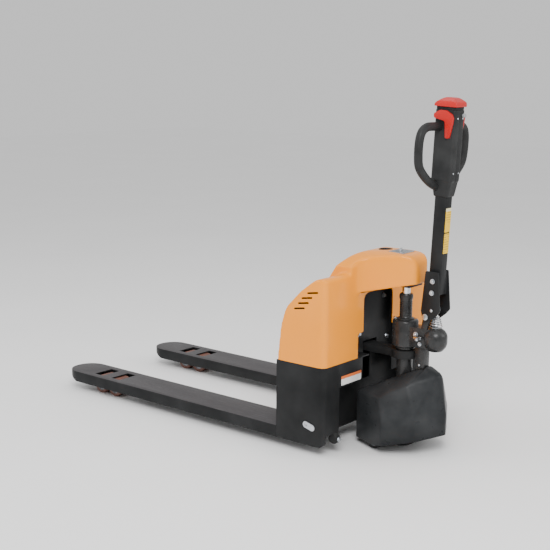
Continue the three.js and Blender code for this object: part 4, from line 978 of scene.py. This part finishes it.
class JACK_OT_pump(bpy.types.Operator):
    """Hand pump: tank, ribbed sleeve, gland nut, neck, column, casting, ram and plunger"""

    bl_idname = "jack.pump"
    bl_label = "Pump"

    def execute(self, context):
        base = PUMP_TOP - 103
        bm = bmesh.new()
        turned(bm, [(0, base), (44, base), (TANK_R, base + 5), (TANK_R, PUMP_TOP - 7), (47, PUMP_TOP - 3),
                    (42, PUMP_TOP), (0, PUMP_TOP)], "z", (STEER_X, 0, 0))
        ribs = [(0, PUMP_TOP - 4), (32, PUMP_TOP - 4), (32, PUMP_TOP + 5), (SLEEVE_R, PUMP_TOP + 8)]
        for i in range(9):
            z = PUMP_TOP + 12 + 6.6 * i
            ribs += [(22.4, z), (SLEEVE_R, z + 1), (SLEEVE_R, z + 3.6), (22.4, z + 4.6)]
        ribs += [(SLEEVE_R, PUMP_TOP + 75), (SLEEVE_R, PUMP_TOP + 76), (0, PUMP_TOP + 76)]
        turned(bm, ribs, "z", (STEER_X, 0, 0))
        neck = ((0, -170), (30, -170), (30, -12), (38, -8), (38, 2), (0, 2))
        turned(bm, [(r, base + z) for r, z in neck], "z", (STEER_X, 0, 0))
        bowl = ((0, 1), (24, 1), (29, 4), (39, 17), (43, 27), (44, 35), (44, 58), (41, 68), (34, 78),
                (26, 84), (22, 87), (0, 87))
        turned(bm, [(r, base + z) for r, z in bowl], "z", (PLUNGER_X, 0, 0))
        web = bmesh.new()
        block(web, PLUNGER_X, STEER_X, -30, 30, base + 8, base + 83)
        block(web, STEER_X - 97, STEER_X - 57, -20, 20, base - 97, base + 10)
        for _, s in SIDES:
            lug = link_outline(TILT_X, TILT_Z, 14, TILT_X + 13, PUMP_TOP - 35, 12, 10)
            slab(web, "xz", lug, s * 18, s * 29)
        bmesh.ops.recalc_face_normals(web, faces=web.faces)
        soften(web, 2.5, 3, 40.0)
        mesh = bpy.data.meshes.new("web")
        web.to_mesh(mesh)
        web.free()
        bm.from_mesh(mesh)
        bpy.data.meshes.remove(mesh)
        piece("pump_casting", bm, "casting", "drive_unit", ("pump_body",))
        nut = bmesh.new()
        turned(nut, [(15.4, PUMP_TOP + 76), (24, PUMP_TOP + 76), (26, PUMP_TOP + 80), (26, PUMP_TOP + 92),
                     (23, PUMP_TOP + 97.5), (15.4, PUMP_TOP + 97.5)], "z", (STEER_X, 0, 0), closed=True)
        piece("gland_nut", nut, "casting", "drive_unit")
        rod = bmesh.new()
        foot = RAM_TOP - 216
        turned(rod, [(0, foot), (RAM_R, foot), (RAM_R, RAM_TOP - 2), (RAM_R - 2, RAM_TOP), (0, RAM_TOP)],
               "z", (STEER_X, 0, 0))
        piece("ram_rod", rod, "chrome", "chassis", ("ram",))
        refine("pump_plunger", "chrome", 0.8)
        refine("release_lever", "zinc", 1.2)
        bolts = bmesh.new()
        for _, s in SIDES:
            hex_bolt(bolts, "y", (STEER_X - 66, s * 30, base + 58), 13, s * 7)
            hex_bolt(bolts, "y", (STEER_X - 84, s * 30, base + 24), 10, s * 5)
            pan_screw(bolts, "y", (STEER_X - 77, s * 20, base - 60), 5, 3, s)
        drum(bolts, "z", 8, PUMP_TOP - 2, PUMP_TOP + 5, (STEER_X + 36, 14, 0), 1.0)
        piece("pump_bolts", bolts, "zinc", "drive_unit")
        coil = bmesh.new()
        points = []
        for i in range(COIL_STEPS + 1):
            turn = i / COIL_STEPS * COIL_TURNS * 2 * math.pi
            radius = 24 - 11 * i / COIL_STEPS
            points.append((PLUNGER_X + radius * math.cos(turn), radius * math.sin(turn),
                           PUMP_TOP - 13 + 38 * i / COIL_STEPS))
        tube_along(coil, points, 1.9, 10)
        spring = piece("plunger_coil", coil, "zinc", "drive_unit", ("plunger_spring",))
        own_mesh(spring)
        return {"FINISHED"}


# ---------------------------------------------------------------- tiller
NECK_V = 443.0
BLOCK_V = 505.0
CAP_V = 755.9
TOP_V = 797.9


class JACK_OT_tiller_head(bpy.types.Operator):
    """Head moulding with its throat, groove and screws"""

    bl_idname = "jack.tiller_head"
    bl_label = "Tiller head"

    def execute(self, context):
        bm = bmesh.new()
        block_plan = rounded([(-44, -32, 12), (44, -32, 12), (44, 32, 12), (-44, 32, 12)])
        slab(bm, "xy", block_plan, BLOCK_V - 2, CAP_V)
        throat = bmesh.new()
        for x, y, z in ((29, 27, NECK_V), (29, 27, NECK_V + 12), (41, 29, BLOCK_V)):
            for a, b in ((1, 1), (1, -1), (-1, 1), (-1, -1)):
                throat.verts.new((a * x, b * y, z))
        bmesh.ops.convex_hull(throat, input=throat.verts)
        soften(throat, 5, 3, 30)
        combine(bm, throat, "UNION")
        groove = bmesh.new()
        slab(groove, "yz", link_outline(0, BLOCK_V - 8, 6, 0, CAP_V - 16, 6, 8), -60, -40.5)
        for s in (1, -1):
            seat = link_outline(s * 17, BLOCK_V + 26, 4.5, s * 17, BLOCK_V + 27, 4.5, 8)
            slab(groove, "yz", seat, -60, -41)
        combine(bm, groove, "DIFFERENCE")
        moulded(bm, sizes().head_voxel, 4)
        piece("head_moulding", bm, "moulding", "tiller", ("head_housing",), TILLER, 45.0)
        screws = bmesh.new()
        for v in (BLOCK_V + 26, CAP_V - 30):
            for s in (1, -1):
                pan_screw(screws, "x", (-41.4 if v < 600 else -43.6, s * 17, v), 3.6, 2.2, -1)
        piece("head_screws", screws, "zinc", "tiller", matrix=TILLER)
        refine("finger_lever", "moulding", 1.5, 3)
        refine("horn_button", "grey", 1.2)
        return {"FINISHED"}


class JACK_OT_grips(bpy.types.Operator):
    """Two loop grips that flow out of the head"""

    bl_idname = "jack.grips"
    bl_label = "Grips"

    def execute(self, context):
        low = BLOCK_V - 18
        for side, s in SIDES:
            route = [(24, low - 8), (60, low + 6), (104, low + 32), (143, low + 68), (154, low + 108),
                     (154, low + 160), (141, low + 192), (110, low + 207), (70, low + 208), (24, low + 207)]
            bm = bmesh.new()
            tube_along(bm, curve_through([(22, s * y, v) for y, v in route], 7), GRIP_R, 28)
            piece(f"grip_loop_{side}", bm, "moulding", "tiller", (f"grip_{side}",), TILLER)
        return {"FINISHED"}


class JACK_OT_red_controls(bpy.types.Operator):
    """Belly cap and the throttle paddles"""

    bl_idname = "jack.red_controls"
    bl_label = "Red controls"

    def execute(self, context):
        bm = bmesh.new()
        rise = TOP_V - CAP_V
        slab(bm, "xz", rounded([(-45, CAP_V + 9), (45, CAP_V + 9), (45, CAP_V + 20, 12), (15, TOP_V, 30),
                                (-23, TOP_V, 26), (-45, CAP_V + rise * 0.6, 10)]), -38, 38)
        across = bmesh.new()
        dome = [(-38, CAP_V + 9), (38, CAP_V + 9), (38, CAP_V + 27, 16), (16, TOP_V + 1, 26),
                (-16, TOP_V + 1, 26), (-38, CAP_V + 27, 16)]
        slab(across, "yz", rounded(dome), -60, 60)
        combine(bm, across, "INTERSECT")
        moulded(bm, 2.0, 4)
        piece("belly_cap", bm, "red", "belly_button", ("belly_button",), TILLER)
        seam = bmesh.new()
        foot = CAP_V + 0.2
        slab(seam, "xy", rounded([(-41, -30, 8), (41, -30, 8), (41, 30, 8), (-41, 30, 8)]), foot, CAP_V + 8.6)
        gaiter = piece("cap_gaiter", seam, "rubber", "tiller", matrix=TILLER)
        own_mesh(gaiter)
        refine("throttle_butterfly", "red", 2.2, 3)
        return {"FINISHED"}


class JACK_OT_labels(bpy.types.Operator):
    """Plain printed films on the casing and the tiller"""

    bl_idname = "jack.labels"
    bl_label = "Labels"

    def execute(self, context):
        bm = bmesh.new()
        film = rounded([(106, 256, 2), (232, 256, 2), (232, 291, 2), (106, 291, 2)])
        slab(bm, "yz", film, REAR - 0.5, REAR - 0.1)
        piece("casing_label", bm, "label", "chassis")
        bm = bmesh.new()
        for low, high in ((238, 312), (316, 404)):
            film = rounded([(-18, low, 3), (18, low, 3), (18, high, 3), (-18, high, 3)])
            slab(bm, "yz", film, DECAL_U - 0.5, DECAL_U)
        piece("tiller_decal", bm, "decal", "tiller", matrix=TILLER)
        return {"FINISHED"}


# ---------------------------------------------------------------- stage
class JACK_OT_stage(bpy.types.Operator):
    """Pale floor, soft lights and the camera"""

    bl_idname = "jack.stage"
    bl_label = "Stage"

    def execute(self, context):
        s = context.scene.stage_settings
        floor_mat, tree, where = start("studio_floor_paper")
        haze = add_node(tree, "ShaderNodeTexNoise", {"Vector": where, "Scale": 1.2, "Detail": 2.0})
        tone = blend_colours(tree, haze.outputs["Fac"], linear("#FAFAFA"), linear("#FFFFFF"))
        rough = spread(tree, haze.outputs["Fac"], 0.75, 0.9)
        close(tree, tone, rough.outputs[0])
        bm = bmesh.new()
        bmesh.ops.create_grid(bm, x_segments=8, y_segments=8, size=14.0)
        mesh = bpy.data.meshes.new("studio_floor")
        bm.to_mesh(mesh)
        bm.free()
        mesh.materials.append(floor_mat)
        floor = bpy.data.objects.new("studio_floor", mesh)
        context.scene.collection.objects.link(floor)
        lamps = (("key", (-2.6, 3.0, 3.4), 2.4, s.key), ("fill", (-4.2, -1.6, 2.2), 2.2, s.fill),
                 ("front", (2.8, 2.6, 2.6), 2.6, s.fill), ("top", (0.0, 0.0, 4.2), 3.0, s.fill))
        middle = Vector((0, 0, 0.4))
        for name, place, size, power in lamps:
            data = bpy.data.lights.new(f"{name}_light", "AREA")
            data.shape, data.size, data.energy = "DISK", size, power
            lamp = bpy.data.objects.new(f"{name}_light", data)
            aim = (middle - Vector(place)).to_track_quat("-Z", "Y")
            lamp.matrix_world = Matrix.Translation(place) @ aim.to_matrix().to_4x4()
            context.scene.collection.objects.link(lamp)
        world = bpy.data.worlds.new("studio_surround")
        world.use_nodes = True
        world.node_tree.nodes["Background"].inputs["Color"].default_value = linear("#FFFFFF")
        world.node_tree.nodes["Background"].inputs["Strength"].default_value = s.world
        context.scene.world = world
        a, e, roll = (math.radians(v) for v in (s.azimuth, s.elevation, s.roll))
        back = Vector((math.sin(a) * math.cos(e), -math.cos(a) * math.cos(e), math.sin(e)))
        right = (-back).cross(Vector((0, 0, 1))).normalized()
        up = back.cross(right)
        x_axis = math.cos(roll) * right + math.sin(roll) * up
        y_axis = math.cos(roll) * up - math.sin(roll) * right
        data = bpy.data.cameras.new("camera")
        data.lens, data.sensor_width = s.lens, 36.0
        camera = bpy.data.objects.new("camera", data)
        spot = Vector(s.target) + back * s.distance
        camera.matrix_world = Matrix.Translation(spot) @ Matrix((x_axis, y_axis, back)).transposed().to_4x4()
        context.scene.collection.objects.link(camera)
        context.scene.camera = camera
        return {"FINISHED"}


STEPS = (JACK_OT_materials, JACK_OT_cover, JACK_OT_console, JACK_OT_forks, JACK_OT_casings, JACK_OT_plates,
         JACK_OT_linkage, JACK_OT_power, JACK_OT_tiller_steel, JACK_OT_fasteners, JACK_OT_wheels,
         JACK_OT_drive_cover, JACK_OT_pump, JACK_OT_tiller_head, JACK_OT_grips, JACK_OT_red_controls,
         JACK_OT_labels, JACK_OT_stage)


class JACK_PT_panel(bpy.types.Panel):
    """Settings and build buttons"""

    bl_label = "Pallet jack"
    bl_idname = "JACK_PT_panel"
    bl_space_type = "VIEW_3D"
    bl_region_type = "UI"
    bl_category = "Pallet jack"

    def draw(self, context):
        for group in (context.scene.jack_sizes, context.scene.jack_colours, context.scene.stage_settings):
            box = self.layout.box()
            for key in type(group).__annotations__:
                box.prop(group, key)
        for step in STEPS:
            self.layout.operator(step.bl_idname)


CLASSES = (JackSizes, JackColours, StageSettings, *STEPS, JACK_PT_panel)


def register():
    """Adds the classes and settings to Blender."""
    for item in CLASSES:
        bpy.utils.register_class(item)
    bpy.types.Scene.jack_sizes = PointerProperty(type=JackSizes)
    bpy.types.Scene.jack_colours = PointerProperty(type=JackColours)
    bpy.types.Scene.stage_settings = PointerProperty(type=StageSettings)


def unregister():
    """Takes them out again."""
    del bpy.types.Scene.stage_settings, bpy.types.Scene.jack_colours, bpy.types.Scene.jack_sizes
    for item in reversed(CLASSES):
        bpy.utils.unregister_class(item)


def main():
    """Builds every piece in order."""
    register()
    for step in STEPS:
        group, name = step.bl_idname.split(".")
        getattr(getattr(bpy.ops, group), name)()


if __name__ == "__main__":
    main()
